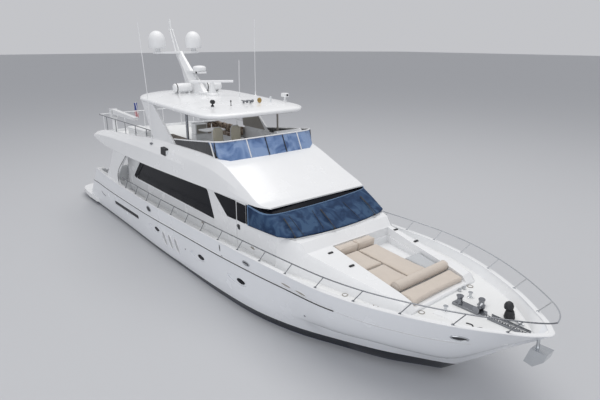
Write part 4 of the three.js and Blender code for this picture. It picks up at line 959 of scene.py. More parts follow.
# Satellite dome and radome as (radius, height) profiles.
DOME = [(0, 0), (0.14, 0), (0.14, 0.02), (0.12, 0.035), (0.12, 0.15), (0.3, 0.15), (0.345, 0.158), (0.38, 0.18),
        (0.397, 0.21), (0.404, 0.26), (0.405, 0.38), (0.405, 0.48), (0.4, 0.56), (0.387, 0.64), (0.366, 0.71),
        (0.335, 0.775), (0.293, 0.838), (0.242, 0.892), (0.185, 0.934), (0.125, 0.962), (0.06, 0.977), (0, 0.98)]
RADOME = [(0, 0), (0.25, 0), (0.262, 0.01), (0.3, 0.045), (0.308, 0.07), (0.31, 0.13), (0.306, 0.165), (0.29, 0.2),
          (0.245, 0.232), (0.18, 0.25), (0.09, 0.262), (0, 0.265)]


def make_mast_gear():
    dress("mast", WHITE, 0.03, angle=25, segments=3)
    for side, s in SIDES:
        dome = turned(f"satdome_{side}_fine", DOME, 56, (-6.77, s * 0.98, 8.69))
        show(dome, SATIN, replaces=(f"satdome_{side}",), angle=50)
        raft(side, s)
    show(turned("radome_fine", RADOME, 48, (-4.42, 0, 7.83)), SATIN, replaces=("radome",), angle=50)
    dress("radar_pedestal", SATIN, 0.02)
    dress("radar_array", SATIN, 0.015)
    dress("searchlight", DARK_RUBBER_AND_SHADE, 0.006, "steel")
    dress("aerial", SATIN, 0.002)
    make_roof_gear()


def make_roof_gear():
    """Lamps, horns, whip aerials and a camera on the hardtop, lamp poles on the mast, and the side lamps."""
    foot = 6.66
    for k, (x, y, reach) in enumerate(((-0.64, -0.05, 0.42), (-0.54, 0.23, 0.3))):
        bell = [(0, 0), (0.022, 0), (0.024, reach * 0.6), (0.035, reach * 0.85), (0.07, reach), (0.06, reach - 0.004),
                (0, reach - 0.05)]
        show(turned(f"horn_{k}", bell, 24, (x - 0.1, y, foot + 0.13), about("Y", 90)), DARK_AND_SHADED_STEEL)
        show(block(f"horn_foot_{k}", (x, y - 0.03, foot), (x + 0.08, y + 0.03, foot + 0.12)), DARK_AND_SHADED_STEEL, bevel=0.006)
    bowl = [(0, 0), (0.07, 0), (0.1, 0.03), (0.11, 0.06), (0.09, 0.065), (0.04, 0.04), (0, 0.04)]
    show(turned("round_horn", bowl, 28, (-0.44, 0.62, foot + 0.12), about("Y", 80)), BRASS)
    show(block("round_horn_foot", (-0.44, 0.59, foot), (-0.39, 0.65, foot + 0.08)), STEEL, bevel=0.005)
    for name, profile, sides, place, finish in (
        ("roof_lamp_stbd", [(0, 0), (0.035, 0), (0.03, 0.02), (0.016, 0.03), (0.016, 0.16), (0.03, 0.17),
                            (0.03, 0.22), (0, 0.23)], 24, (-0.38, -0.81, foot), DARK_RUBBER_AND_SHADE),
        ("roof_lamp_port", [(0, 0), (0.05, 0), (0.045, 0.03), (0.03, 0.04), (0.03, 0.15), (0.045, 0.17),
                            (0.045, 0.24), (0, 0.25)], 24, (-0.45, 1.26, foot), LENS),
        ("camera_foot", [(0, 0), (0.09, 0), (0.08, 0.03), (0.045, 0.06), (0.045, 0.2), (0, 0.2)], 28,
         (-0.45, 2.05, foot - 0.02), SATIN),
    ):
        show(turned(name, profile, sides, place), finish)
    head = rounded(rect(-0.62, foot + 0.17, -0.28, foot + 0.34), 0.05, 4)
    show(prism("camera_head", head, 1.95, 2.15, "y"), SATIN, bevel=0.02)
    eye = [(0, 0), (0.05, 0), (0.045, 0.02), (0, 0.025)]
    show(turned("camera_eye", eye, 24, (-0.281, 2.05, foot + 0.26), about("Y", 90)), GLASS)
    whip_foot = [(0, -0.06), (0.06, -0.06), (0.06, 0.01), (0.03, 0.03), (0.024, 0.22), (0, 0.22)]
    for k, (x, y, z, tall) in enumerate(((-1.96, 0.62, roof_z(-1.96), 1.65), (-3.29, 2.4, 6.64, 3.55))):
        show(turned(f"whip_foot_{k}", whip_foot, 24, (x, y, z)), SATIN)
        whip = [(x, y, z + 0.2), (x - 0.01, y + 0.02, z + tall / 2), (x - 0.02, y + 0.05, z + tall)]
        show(tube(f"whip_{k}", whip, 0.013, 10), SATIN)
    show(turned("corner_lamp", [(0, 0), (0.035, 0), (0.035, 0.09), (0, 0.1)], 20, (-4.08, -2.5, 6.5)), SATIN)
    for k, s in enumerate((-1, 1)):
        pole = [(-6.7, s * 0.08, 8.66), (-6.95, s * 0.08, 9.25), (-7.23, s * 0.08, 9.76), (-7.26, s * 0.02, 9.82)]
        show(tube(f"lamp_pole_{k}", smoothed(pole, 4), 0.018, 10), SATIN)
    for name, profile, sides, place, finish in (
        ("mast_lamp", [(0, 0), (0.05, 0), (0.055, 0.02), (0.055, 0.12), (0.045, 0.13), (0.045, 0.2), (0.055, 0.21),
                       (0.055, 0.3), (0.03, 0.33), (0, 0.34)], 28, (-7.26, 0, 9.8), SATIN),
        ("radome_band", [(0, 0), (0.2, 0), (0.2, 0.1), (0, 0.1)], 36, (-4.42, 0, 7.735), DARK_RUBBER_AND_SHADE),
        ("radar_foot", [(0, 0), (0.3, 0), (0.29, 0.06), (0.24, 0.12), (0.16, 0.16), (0, 0.17)], 36,
         (-3.3, 0, 6.77), SATIN),
    ):
        show(turned(name, profile, sides, place), finish)
    beam = rounded([(-0.52, 6.2), (-0.36, 6.2), (-0.34, 6.44), (-0.56, 6.45)], 0.03, 3)
    show(prism("roof_beam", beam, -2.3, 2.3, "y"), WHITE)
    case = rounded([(-3.0, 4.47), (-2.55, 4.45), (-2.5, 4.76), (-2.95, 4.8)], 0.04, 3)
    lamp_lens = [(-2.52, 4.5), (-2.44, 4.52), (-2.42, 4.68), (-2.5, 4.7)]
    for side, s in SIDES:
        show(prism(f"side_lamp_{side}", case, s * 2.74, s * 2.9, "y"), DARK_RUBBER_AND_SHADE, bevel=0.012)
        show(prism(f"side_lamp_lens_{side}", lamp_lens, s * 2.76, s * 2.88, "y"), LENS, bevel=0.01)
        bracket = block(f"aerial_bracket_{side}", (-4.24, s * 2.8 - 0.05, 4.7), (-4.08, s * 2.8 + 0.05, 4.78))
        show(bracket, DARK_AND_SHADED_STEEL, bevel=0.01)


def raft(side, s):
    """Canister across the boat on two cradles, with a flange where its halves meet, a strap and a band."""
    x0, y0, radius, half = -4.7, s * 0.8, 0.215, 0.45
    z = roof_z(x0) + 0.25
    barrel = [(0, 0), (0.1, 0.0), (0.16, 0.01), (0.195, 0.035), (radius, 0.085), (radius, 0.25),
              (radius - 0.006, 0.256), (radius - 0.006, 0.27), (radius, 0.276), (radius, half - 0.03),
              (radius + 0.01, half - 0.024), (radius + 0.01, half)]
    profile = barrel + [(r, 2 * half - h) for r, h in reversed(barrel[:-1])]
    canister = turned(f"raft_canister_{side}", profile, 48, (x0, y0 + half, z), about("X", 90))
    show(canister, SATIN, replaces=(f"liferaft_{side}",), angle=40)
    for name, y, width, proud, finish in ((f"raft_strap_{side}", y0 - 0.34, 0.022, 0.006, DARK_RUBBER_AND_SHADE),
                                          (f"raft_band_{side}", y0 + 0.34, 0.012, 0.004, SATIN)):
        section = rect(radius - 0.008, -width, radius + proud, width)
        rings = [[Vector((x0 + r * math.sin(a), y + h, z + r * math.cos(a))) for r, h in section] for a in angles(48)]
        show(loft(name, rings, closed_path=True), finish)
    saddle = [(-0.17, -0.17), (-0.2, -0.3), (0.2, -0.3), (0.17, -0.17), (0.1, -0.198), (0, -0.216), (-0.1, -0.198)]
    outline = [(x0 + x, z + h) for x, h in saddle]
    for k, y in enumerate((y0 - 0.26, y0 + 0.26)):
        show(prism(f"raft_cradle_{side}_{k}", outline, y - 0.03, y + 0.03, "y"), SATIN, bevel=0.006)


# Upholstery: every pad is cut as a slightly small blank, then blown up as cloth

PADS = []
FILL_FRAMES = 20


def pulled(outline, pull, spacing=0.1):
    """Outline whose long sides draw in between their ends."""
    middle = sum((Vector(p) for p in outline), Vector((0, 0))) / len(outline)
    out = []
    for i, p in enumerate(outline):
        p, q = Vector(p), Vector(outline[(i + 1) % len(outline)])
        count = max(1, int((q - p).length / spacing))
        inward = Vector((p.y - q.y, q.x - p.x)).normalized()
        if inward.dot(middle - p) < 0:
            inward.negate()
        for k in range(count):
            t = k / count
            draw = pull * (1 - (2 * t - 1) ** 2) if count > 1 else 0
            out.append(p.lerp(q, t) + inward * draw)
    return out


def pad(name, at, along, across, outline, thick, material, body="boat", slot=None, replaces=(), fill=0.7, cap=0.03,
        corner=0.05, grid=0.03, welt=True):
    """Pad cut to an outline in the plane of two directions, with its thickness along their normal."""
    at, along = Vector(at), Vector(along).normalized()
    up = along.cross(Vector(across)).normalized()
    across = up.cross(along)
    edge = pulled(rounded(outline, corner, 3), 0.008)
    middle = sum(edge, Vector((0, 0))) / len(edge)

    def ring(height, inset):
        shrunk = [p + (middle - p).normalized() * (inset + 0.003) for p in edge]
        return [at + along * p.x + across * p.y + up * height for p in shrunk]

    soft = min(0.03, thick * 0.3)
    top = thick - 0.012
    blank = loft(name, [ring(0, soft * 0.6), ring(soft * 0.6, 0), ring(top - soft, 0),
                        ring(top - soft * 0.3, soft * 0.35), ring(top, soft)])
    PADS.append(dict(mesh=blank, base=(at, up), material=material, body=body, slot=slot, replaces=replaces,
                     fill=fill, cap=cap, grid=grid, welt=ring(top - soft * 0.3, soft * 0.1) if welt else None))


def cushion(name, at, along, across, wide, deep, thick, material, **settings):
    pad(name, at, along, across, rect(0, 0, wide, deep), thick, material, **settings)


def pad_on(name, corners, thick, material, **settings):
    """Pad on a base given by its four corners, turning from the first side to the second."""
    corners = [Vector(p) for p in corners]
    a, b, _, d = corners
    along = (b - a).normalized()
    up = along.cross(d - a).normalized()
    across = up.cross(along)
    outline = [((p - a).dot(along), (p - a).dot(across)) for p in corners]
    pad(name, a, along, across, outline, thick, material, **settings)


def finish_pads():
    """Remeshes each blank evenly, fills all of them with a little pressure at once, keeps every point near its
    start and above the pad's base, and adds the welts."""
    scene = bpy.context.scene
    waiting = []
    for item in PADS:
        blank = placed("blank", item["mesh"])
        even = blank.modifiers.new("even", "REMESH")
        even.mode = "VOXEL"
        even.voxel_size = item["grid"]
        soft = placed("soft", evaluated_copy(blank))
        bpy.data.objects.remove(blank)
        first = [v.co.copy() for v in soft.data.vertices]
        cloth = soft.modifiers.new("cloth", "CLOTH")
        cloth.settings.use_pressure = True
        cloth.settings.uniform_pressure_force = 4
        cloth.settings.effector_weights.gravity = 0
        cloth.settings.quality = 4
        cloth.collision_settings.use_collision = False
        waiting.append((item, soft, first))
    for number in range(1, FILL_FRAMES + 1):
        scene.frame_set(number)
    for item, soft, first in waiting:
        full = evaluated_copy(soft)
        at, up = item["base"]
        for vertex, before in zip(full.vertices, first):
            moved = vertex.co - before
            if moved.length > item["cap"]:
                vertex.co = before + moved * (item["cap"] / moved.length)
            depth = (vertex.co - at).dot(up)
            if depth < 0:
                vertex.co -= up * depth
        soft.modifiers.clear()
        soft.data = full
        soft.modifiers.new("finer", "SUBSURF").levels = 1
        done = evaluated_copy(soft)
        name = item["mesh"].name
        if item["welt"]:
            path = [soft.closest_point_on_mesh(p)[1] for p in item["welt"]]
            show(loop(name + "_welt", path, 0.006), item["material"], item["body"], item["slot"])
        bpy.data.objects.remove(soft)
        item["mesh"].name = "blank"
        done.name = name
        paint(done, item["material"])
        made = show(done, item["material"], item["body"], item["slot"], item["replaces"], angle=80)
    scene.frame_set(1)


# Flybridge and cockpit furniture

def helm_chair(name, y):
    x = -1.05
    soft = {"body": name, "corner": 0.07, "cap": 0.02, "grid": 0.022}
    pan = prism(f"{name}_pan", rounded(rect(x - 0.27, y - 0.26, x + 0.26, y + 0.26), 0.08, 4), 4.735, 4.762)
    show(pan, WHITE, name, replaces=(name,), bevel=0.006)
    column = [(0, 4.6905), (0.09, 4.6905), (0.09, 4.7), (0.055, 4.712), (0.05, 4.72), (0.05, 4.736), (0, 4.736)]
    show(turned(f"{name}_column", column, 40, (x, y, 0)), STEEL, name)
    cushion(f"{name}_seat", (x - 0.2, y - 0.255, 4.763), X, Y, 0.46, 0.51, 0.115, CREAM, **soft)
    shape = [(0.02, 0), (0.49, 0), (0.51, 0.45), (0.5, 0.74), (0.42, 0.88), (0.09, 0.88), (0.01, 0.74), (0, 0.45)]
    pad(f"{name}_back", (x - 0.295, y - 0.255, 4.79), Y, (-0.033, 0, 1), shape, 0.11, CREAM, **soft)
    shell = [[Vector((x - 0.3 + out - 0.033 * v, y - 0.255 + u, 4.79 + v)) for u, v in rounded(shape, 0.08, 4)]
             for out in (-0.012, 0.012)]
    show(loft(f"{name}_shell", shell), WHITE, name, bevel=0.005)
    for side, s in reversed(SIDES):
        arm_y = y + s * 0.29
        cushion(f"{name}_arm_{side}", (x - 0.25, arm_y - 0.03, 5.0), X, Y, 0.42, 0.06, 0.05, CREAM,
                body=name, corner=0.02, cap=0.006, grid=0.014, welt=False)
        hoop = smoothed([(x - 0.2, y + s * 0.25, 4.75), (x - 0.2, arm_y, 4.82), (x - 0.17, arm_y, 4.99),
                         (x + 0.06, arm_y, 4.995), (x + 0.1, arm_y, 4.82), (x + 0.1, y + s * 0.25, 4.75)])
        show(tube(f"{name}_hoop_{side}", hoop, 0.013), STEEL, name)


def plinth(node, outline, low, high):
    """Moulded plinth in the place of a seat's solid."""
    show(prism(f"{node}_plinth", rounded(outline, 0.04, 3), low, high), WHITE, replaces=(node,), bevel=0.012)


def make_furniture():
    gap = 0.0005  # between a plinth and the deck under it
    helm_chair("helm_chair_stbd", -0.95)
    helm_chair("helm_chair_centre", -0.05)
    dress("helm_plinth", WHITE, 0.02)
    make_console()
    plinth("port_lounge", rect(-1.1, 0.95, 0.45, 2.25), FLY_FLOOR_Z + gap, 4.43)
    backrest = rounded(rect(0.33, 0.95, 0.45, 2.25), 0.03, 3)
    show(prism("port_lounge_backrest", backrest, 4.43, 5.36), WHITE, bevel=0.02)
    for k, y in enumerate((0.96, 1.61)):
        cushion(f"lounge_seat_{k}", (-1.09, y, 4.431), X, Y, 1.24, 0.63, 0.13, CREAM)
        cushion(f"lounge_back_{k}", (0.329, y + 0.63, 4.56), (0, -1, 0), Z, 0.63, 0.82, 0.16, CREAM)
    roll = [(0.2, 5.361), (0.21, 5.44), (0.27, 5.5), (0.36, 5.52), (0.45, 5.5), (0.5, 5.43), (0.5, 5.361)]
    show(prism("lounge_cover", roll, 0.9, 2.26, "y"), SATIN, bevel=0.012)
    outline = [(-6.9, 2.3), (-6.9, 0.6), (-6.34, 0.6), (-6.34, 1.79), (-4.3, 1.79), (-4.3, 2.3)]
    plinth("fly_settee", outline, FLY_FLOOR_Z + gap, 4.43)
    for k, x in enumerate((-6.29, -5.63, -4.97)):
        cushion(f"settee_seat_{k}", (x, 1.75, 4.431), X, Y, 0.65, 0.4, 0.13, PATTERN)
    show(block("settee_cabinet", (-6.88, 0.62, 4.431), (-6.38, 1.32, 4.99)), WHITE, bevel=0.02)
    # Painted shade: the door panel is grey for the shade inside the white cabinet frame.
    show(block("settee_cabinet_door", (-6.385, 0.68, 4.47), (-6.37, 1.26, 4.94)), LINING_AND_SHADE_GREY, bevel=0.005)
    show(block("settee_shelf", (-6.93, 0.6, 4.992), (-6.7, 2.31, 5.03)), WHITE, bevel=0.01)
    cushion("settee_aft_seat", (-6.76, 1.33, 4.431), X, Y, 0.46, 0.42, 0.13, PATTERN)
    cushion("settee_corner_seat", (-6.76, 1.76, 4.431), X, Y, 0.46, 0.39, 0.13, PATTERN)
    for k, x in enumerate((-6.74, -6.13, -5.52, -4.91)):
        cushion(f"settee_back_{k}", (x, 2.3, 4.5), X, Z, 0.6, 0.48, 0.15, PATTERN)
    for k, y in enumerate((1.33, 1.82)):
        cushion(f"settee_aft_back_{k}", (-6.9, y, 4.5), Y, Z, 0.48, 0.48, 0.15, PATTERN)
    dress("fly_table", WHITE, 0.01)
    dress("fly_bar", WHITE, 0.03)
    show(block("fly_bar_top", (-4.56, -2.2, 4.97), (-2.74, -1.54, 4.992)), PATTERN, bevel=0.006)
    plinth("cockpit_settee", rect(-11.75, -1.4, -11.09, 1.4), SOLE_Z + gap, 1.46)
    for k, y in enumerate((-1.4, -0.465, 0.47)):
        cushion(f"cockpit_seat_{k}", (-11.58, y, 1.461), X, Y, 0.53, 0.93, 0.14, GREY_PAD, slot="dark")
        cushion(f"cockpit_back_{k}", (-11.75, y, 1.5), Y, Z, 0.93, 0.48, 0.16, GREY_PAD, slot="dark")
    for node, bevel in (("cockpit_table", 0.01), ("davit_post", 0.01), ("davit_head", 0.01), ("davit_boom", 0.02)):
        dress(node, WHITE, bevel)


def make_console():
    """Helm console with its screens and the wheel."""
    dress("helm_console", WHITE, 0.04, segments=3)
    slope = Vector((0.41, 0, 0.24)).normalized()
    out = Vector((-slope.z, 0, slope.x))
    for k, (y, wide) in enumerate(((-1.28, 0.3), (-0.88, 0.36), (-0.1, 0.36), (0.26, 0.24))):
        at = Vector((0.2, y, 5.23)) + slope * 0.05
        face = [at + slope * v + Vector((0, u, 0)) for u, v in rounded(rect(-wide / 2, 0, wide / 2, 0.26), 0.03, 3)]
        layers = [[p + out * level for p in face] for level in (-0.01, 0.008)]
        show(loft(f"console_screen_{k}", layers), GLASS, bevel=0.003)
    hub = Vector((0.05, -0.5, 5.05))
    lean = about("Y", -62)
    wheel = [hub + lean @ Vector((0.19 * math.cos(a), 0.19 * math.sin(a), 0)) for a in angles(40)]
    show(loop("wheel_rim", wheel, 0.014, 12), STEEL)
    spokes = [tube("spoke", [hub, wheel[k]], 0.009, 10) for k in (3, 10, 17, 23, 30, 37)]
    spokes.append(tube("hub", [hub, hub + Vector((0.16, 0, -0.02))], 0.028, 16))
    show(joined("wheel_spokes", spokes), STEEL)


# Rails

def make_rails():
    flange = [(0, 0), (0.045, 0), (0.042, 0.01), (0.02, 0.016), (0.02, 0.03), (0, 0.03)]
    for side, s in SIDES:
        def foot(x):
            return sheer_point(x, s, 0.065, 0.02)

        def tip(x):
            p = foot(x)
            return Vector((x + RAIL_LEAN, p.y - s * 0.03, p.z + RAIL_HEIGHT - 0.04))

        bow = [Vector((12.98, s * 0.33, 2.72)), Vector((13.1, -0.04 if s > 0 else -0.08, 2.7))]
        parts = [tube("run", smoothed([tip(x) for x in (-8.1, *RAIL_POSTS)] + bow, 4), 0.019, 14)]
        for x in RAIL_POSTS:
            parts.append(tube("post", [foot(x), tip(x)], 0.0145))
            parts.append(turned("flange", flange, 20, foot(x) - Vector((0, 0, 0.002))))
        # Painted shade: the starboard rail is darker steel and the port rail polished steel, because the port side is
        # lit.
        finish = STEEL if s > 0 else DARK_AND_SHADED_STEEL
        show(joined(f"side_rail_{side}_fine", parts), finish, replaces=(f"side_rail_{side}",), angle=40)
    top = 5.22
    half = [(-4.665, 2.51), (-5.15, 2.52), (-9, 2.6), (-11.4, 2.65), (-11.66, 2.58), (-11.715, 2.3), (-11.72, 0)]
    round_stern = [(x, y, top) for x, y in half] + [(x, -y, top) for x, y in reversed(half[4:-1])]
    along_side = [(x, -y, top) for x, y in half[:5]]
    # Painted light and shade: the port aft rail is steel coloured satin white as if lit, the starboard one darker
    # steel as if in shade.
    for side, s, run, stern_posts, finish in (("port", 1, round_stern, (2.4, 1.2, 0, -1.2, -2.4), SATIN),
                                              ("stbd", -1, along_side, (), DARK_AND_SHADED_STEEL)):
        parts = [tube("run", smoothed(run, 4), 0.022, 14)]
        for x in (-5.3, -6.6, -7.9, -9.2, -10.5):
            y = s * lerp(2.52, 2.65, (x + 5.15) / -6.35)
            parts.append(tube("post", [(x, y, eased(FLY_SECTIONS, x, "topZ") - 0.03), (x, y, top)], 0.018))
        for y in stern_posts:
            parts.append(tube("post", [(-11.71, y, FLY_FLOOR_Z), (-11.71, y, top)], 0.018))
        show(joined(f"aft_rail_{side}_fine", parts), finish, slot="steel", replaces=("aft_rail",), angle=40)
    make_flag()
    for k, (x0, x1, high) in enumerate(((-9.95, -8.9, 4.64), (-8.7, -7.6, 4.7))):
        show(block(f"deck_box_{k}", (x0, -1.7, FLY_FLOOR_Z + 0.001), (x1, -1.0, high)), WHITE, bevel=0.05, segments=4)
        lid = block(f"deck_box_lid_{k}", (x0 - 0.02, -1.72, high - 0.12), (x1 + 0.02, -0.98, high + 0.02))
        show(lid, SATIN, bevel=0.03, segments=4)


def make_flag():
    """Staff on the aft rail with a narrow flag hanging in folds from it."""
    middle = -0.36
    foot, tip = Vector((-11.745, middle, 5.1)), Vector((-11.99, middle, 5.74))
    show(tube("flag_staff", [foot, tip], 0.013), SATIN)
    cap = [(0, 0), (0.022, 0.0), (0.026, 0.02), (0.018, 0.04), (0, 0.045)]
    show(turned("flag_staff_cap", cap, 20, tip), STEEL)
    across, down = 25, 16
    points = []
    for u in steps(0, 1, across - 1):
        for v in steps(0, 1, down - 1):
            fold = math.sin(u * 4.2 * math.pi + 0.6 * v)
            points.append(Vector((-11.985 + 0.1 * v * (1 - v * 0.3) - 0.035 * fold * (0.5 + v),
                                  middle + 0.2 * (u - 0.5) + 0.012 * math.sin(7 * v + 9 * u),
                                  5.66 - 0.86 * v + 0.012 * math.sin(u * 11))))
    cloth = mesh_from("flag", points, ring_faces(across, down, closed_ring=False))
    flag = show(cloth, FLAG, angle=70)
    flag.modifiers.new("thickness", "SOLIDIFY").thickness = 0.0025


# Foredeck, bow and under-water gear

def recess_at(x):
    """Floor and sides of the sunpad recess at x."""
    t = (x - 6.05) / 3.9
    return {"floor": lerp(2.29, 2.05, t), "stbd": lerp(-0.965, -1.34, t), "port": lerp(1.85, 1.16, t)}


def pad_corners(x0, x1, stbd, port):
    """Corners of a pad in the recess; a side given as None lies just inside the recess's own."""
    def corner(x, y, side):
        at = recess_at(x)
        return (x, y if y is not None else at[side] + (0.02 if side == "stbd" else -0.02), at["floor"] + 0.002)
    return [corner(x0, stbd, "stbd"), corner(x1, stbd, "stbd"), corner(x1, port, "port"), corner(x0, port, "port")]


def make_sunpads():
    mid = 0.74
    split = -0.17
    for name, corners, thick, material, settings in (
        ("sunpad_bolster_stbd", (6.08, 6.42, None, -0.1), 0.33, CANVAS,
         {"replaces": ("sunpad_back",), "corner": 0.04, "cap": 0.02}),
        ("sunpad_bolster_port", (6.08, 6.42, -0.09, mid), 0.33, CANVAS, {"corner": 0.04, "cap": 0.02}),
        ("sunpad_port", (6.44, 8.77, split, mid), 0.13, CANVAS, {"replaces": ("sunpad_seat",)}),
        ("sunpad_stbd_aft", (6.44, 7.62, None, split - 0.01), 0.13, CANVAS, {}),
        ("sunpad_stbd_fore", (7.63, 8.77, None, split - 0.01), 0.13, CANVAS, {}),
        ("sunpad_grey", (7.72, 8.77, 0.76, None), 0.09, GREY_PAD, {"replaces": ("sunpad_side",), "cap": 0.02}),
        ("sunpad_front_pad", (9.13, 9.76, None, None), 0.14, CANVAS,
         {"replaces": ("sunpad_front",), "corner": 0.1, "cap": 0.035}),
    ):
        pad_on(name, pad_corners(*corners), thick, material, **settings)
    x = 8.94
    at = recess_at(x)
    z = at["floor"] + 0.17
    profile = [(0, 0), (0.12, 0.0), (0.15, 0.012), (0.162, 0.04), (0.166, 0.3), (0.164, 0.6)]
    length = at["port"] - at["stbd"] - 0.12
    whole = profile + [(r, length - h) for r, h in reversed(profile)]
    roll = turned("sunpad_roll_pad", whole, 40, (x, at["stbd"] + 0.095, z), about("X", -90))
    PADS.append(dict(mesh=roll, base=(Vector((x, 0, at["floor"])), Vector(Z)), material=CANVAS, body="boat",
                     slot=None, replaces=("sunpad_roll",), fill=0.8, cap=0.008, grid=0.03, welt=None))
    for k, y in enumerate((at["stbd"] + 0.115, at["port"] - 0.045)):
        hoop = [Vector((x + 0.163 * math.cos(a), y, z + 0.163 * math.sin(a))) for a in angles(40)]
        show(loop(f"sunpad_roll_welt_{k}", hoop, 0.007), CANVAS)


def make_trunk():
    """Raised deck ahead of the windscreen with the sunpad recess and the foot well beside it."""
    rings = []
    for x, half_top, half_foot, top in ((4.96, 2.44, 2.6, 2.95), (5.45, 2.26, 2.55, 2.94), (5.76, 2.16, 2.49, 2.9),
                                        (6.02, 2.09, 2.43, 2.61), (7.6, 1.9, 2.14, 2.44), (9.3, 1.7, 1.9, 2.29),
                                        (9.7, 1.63, 1.83, 2.22), (9.9, 1.48, 1.7, 2.02)):
        foot = deck_z(x) - 0.06
        shoulder = lerp(half_top, half_foot, 0.35)
        half = [(half_foot, foot), (shoulder, lerp(foot, top, 0.8)), (half_top - 0.04, top)]
        rings.append([Vector((x, y, z)) for y, z in half] + [Vector((x, -y, z)) for y, z in reversed(half)])
    house = both([(-8.3, 2.502), (4.972, 2.502), (5.452, 2.112), (5.642, 1.102), (5.702, 0)])
    above = 3.2
    recess = []
    for x in (6.05, 10.3):
        at = recess_at(x)
        recess.append([Vector((x, at[side], z)) for side, z in (("stbd", at["floor"]), ("port", at["floor"]),
                                                                ("port", above), ("stbd", above))])
    well = rounded([(6.11, 0.76), (7.7, 0.76), (7.7, 1.52), (6.11, 1.8)], 0.05, 3)
    cutters = [prism("house", house, 0, 5), loft("recess", recess), prism("well", well, 2.02, above)]
    mesh = carved(loft("trunk_shell", rings), cutters)
    paint(mesh, WHITE)
    show(mesh, WHITE, replaces=("trunk",), bevel=0.03, segments=3)


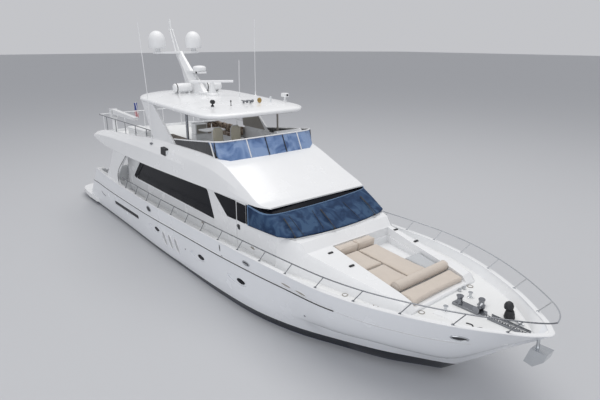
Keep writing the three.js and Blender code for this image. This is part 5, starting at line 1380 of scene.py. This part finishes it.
def make_foredeck():
    """Windlass gear, deck fillers, vents and the chain from the gypsy to the roller."""
    floor = FOREDECK_Z
    radius = 0.08
    filler = [(0, 0), (radius - 0.01, 0), (radius - 0.012, 0.008), (0, 0.01)]
    for k, (x, y) in enumerate(((7.89, 2.15), (8.93, 1.91), (9.99, 1.21))):
        z = deck_z(x)
        for side, s in SIDES:
            edge = [Vector((x + radius * math.cos(a), s * y + radius * math.sin(a), z + 0.006)) for a in angles(28)]
            show(loop(f"deck_fill_rim_{side}_{k}", edge, 0.016, 10), LINING_AND_SHADE_GREY)
            show(turned(f"deck_fill_{side}_{k}", filler, 24, (x, s * y, z)), SATIN)
    for k, (x, y, z) in enumerate(((6.39, -1.37, 2.57), (7.37, -1.37, 2.47), (6.37, 1.93, 2.57), (7.38, 1.83, 2.47))):
        box = block(f"trunk_vent_{k}", (x - 0.04, y - 0.1, z - 0.04), (x + 0.04, y + 0.1, z + 0.035))
        show(box, DARK_RUBBER_AND_SHADE, bevel=0.015)
    for side, s in SIDES:
        for k, (x, z) in enumerate(((-0.22, 1.97), (3.49, 2.08))):
            # Painted shade: each vent's face is a flat grey disc for the shade inside it, in a white rim.
            inside = [[Vector((a, s * v, b)) for a, b in oval(x, z, 0.15, 0.07)] for v in (2.499, 2.504)]
            show(loft(f"house_vent_{side}_{k}", inside), LINING_AND_SHADE_GREY)
            show(loop(f"house_vent_rim_{side}_{k}", inside[1], 0.018), WHITE)
    knob = [(0, 0), (0.055, 0), (0.055, 0.03), (0.04, 0.05), (0, 0.055)]
    capstan = [(0, 0), (0.11, 0), (0.115, 0.02), (0.085, 0.05), (0.075, 0.12), (0.095, 0.18), (0.1, 0.2),
               (0.08, 0.225), (0, 0.23)]
    post = [(0, 0), (0.075, 0), (0.075, 0.015), (0.045, 0.03), (0.04, 0.13), (0.07, 0.15), (0.07, 0.17), (0, 0.18)]
    lower = [(0, 0), (0.12, 0), (0.15, 0.06), (0.13, 0.17), (0.11, 0.24), (0.09, 0.27), (0, 0.27)]
    upper = [(0, 0), (0.06, 0.0), (0.12, 0.05), (0.13, 0.13), (0.1, 0.21), (0.05, 0.25), (0, 0.26)]
    for name, profile, sides, place, finish in (
        ("round_fitting_0", knob, 24, (9.95, 0.7, 2.0), STEEL),
        ("round_fitting_1", knob, 24, (9.95, 0.93, 2.0), STEEL),
        ("capstan", capstan, 36, (10.83, 0.45, floor), DARK_AND_SHADED_STEEL),
        ("bollard_port", post, 30, (10.36, 0.62, floor), STEEL),
        ("bollard_stbd", post, 30, (10.36, -0.62, floor), STEEL),
        ("covered_gear", lower, 28, (11.7, 0.4, floor), DARK_RUBBER_AND_SHADE),
        ("covered_gear_head", upper, 28, (11.66, 0.38, floor + 0.26), DARK_RUBBER_AND_SHADE),
    ):
        show(turned(name, profile, sides, place), finish)
    bar = [(11.1, -0.74), (11.25, -0.7), (11.36, -0.78), (11.5, -0.64), (11.62, -0.7), (11.74, -0.56)]
    show(tube("pawl_bar", smoothed([(x, y, floor + 0.02) for x, y in bar], 5), 0.022, 10), DARK_RUBBER_AND_SHADE)
    channel = [(-0.13, 0.0), (-0.13, 0.09), (-0.105, 0.09), (-0.105, 0.015), (0.105, 0.015), (0.105, 0.09),
               (0.13, 0.09), (0.13, 0.0)]
    show(sweep("bow_channel", [(11.35, 0, floor), (12.45, 0, floor + 0.01)], channel), DARK_AND_SHADED_STEEL)
    cleat_foot = [(0, 0), (0.05, 0), (0.04, 0.06), (0, 0.06)]
    show(turned("bow_cleat_foot", cleat_foot, 24, (12.05, 0.3, floor)), STEEL)
    show(tube("bow_cleat", [(11.92, 0.3, floor + 0.075), (12.18, 0.28, floor + 0.075)], 0.024), STEEL)
    links = []
    for k, x in enumerate(steps(11.22, 12.4, 15)):
        turn, at = about("X", 90 * (k % 2)), Vector((x, 0, floor + 0.045))
        ring = [turn @ Vector((0.052 * math.cos(a), 0.03 * math.sin(a), 0)) + at for a in angles(16)]
        links.append(loop("link", ring, 0.0085))
    show(joined("anchor_chain", links), DARK_AND_SHADED_STEEL, angle=60)
    hatch = rounded([(10.2, -1.0), (10.95, -0.9), (10.95, -0.3), (10.2, -0.3)], 0.06, 4)
    show(prism("locker_lid", hatch, floor + 0.002, floor + 0.02), WHITE, bevel=0.006)


def make_underbody():
    for side, _ in SIDES:
        for part, bevel in (("strut", 0.006), ("propeller", 0.006), ("rudder", 0.01)):
            dress(f"{part}_{side}", BRASS, bevel)


set_camera()
set_light()
set_floor()
make_hull()
make_hull_trim()
make_hull_fittings()
make_upper_deck()
make_hardtop()
make_house()
make_windscreen()
make_fly_screen()
make_mast_gear()
make_furniture()
make_rails()
make_sunpads()
make_trunk()
make_foredeck()
dress("swim_platform", WHITE, 0.02)
dress("windlass", DARK_AND_SHADED_STEEL, 0.006)
dress("anchor", STEEL, 0.012)
make_underbody()
finish_pads()
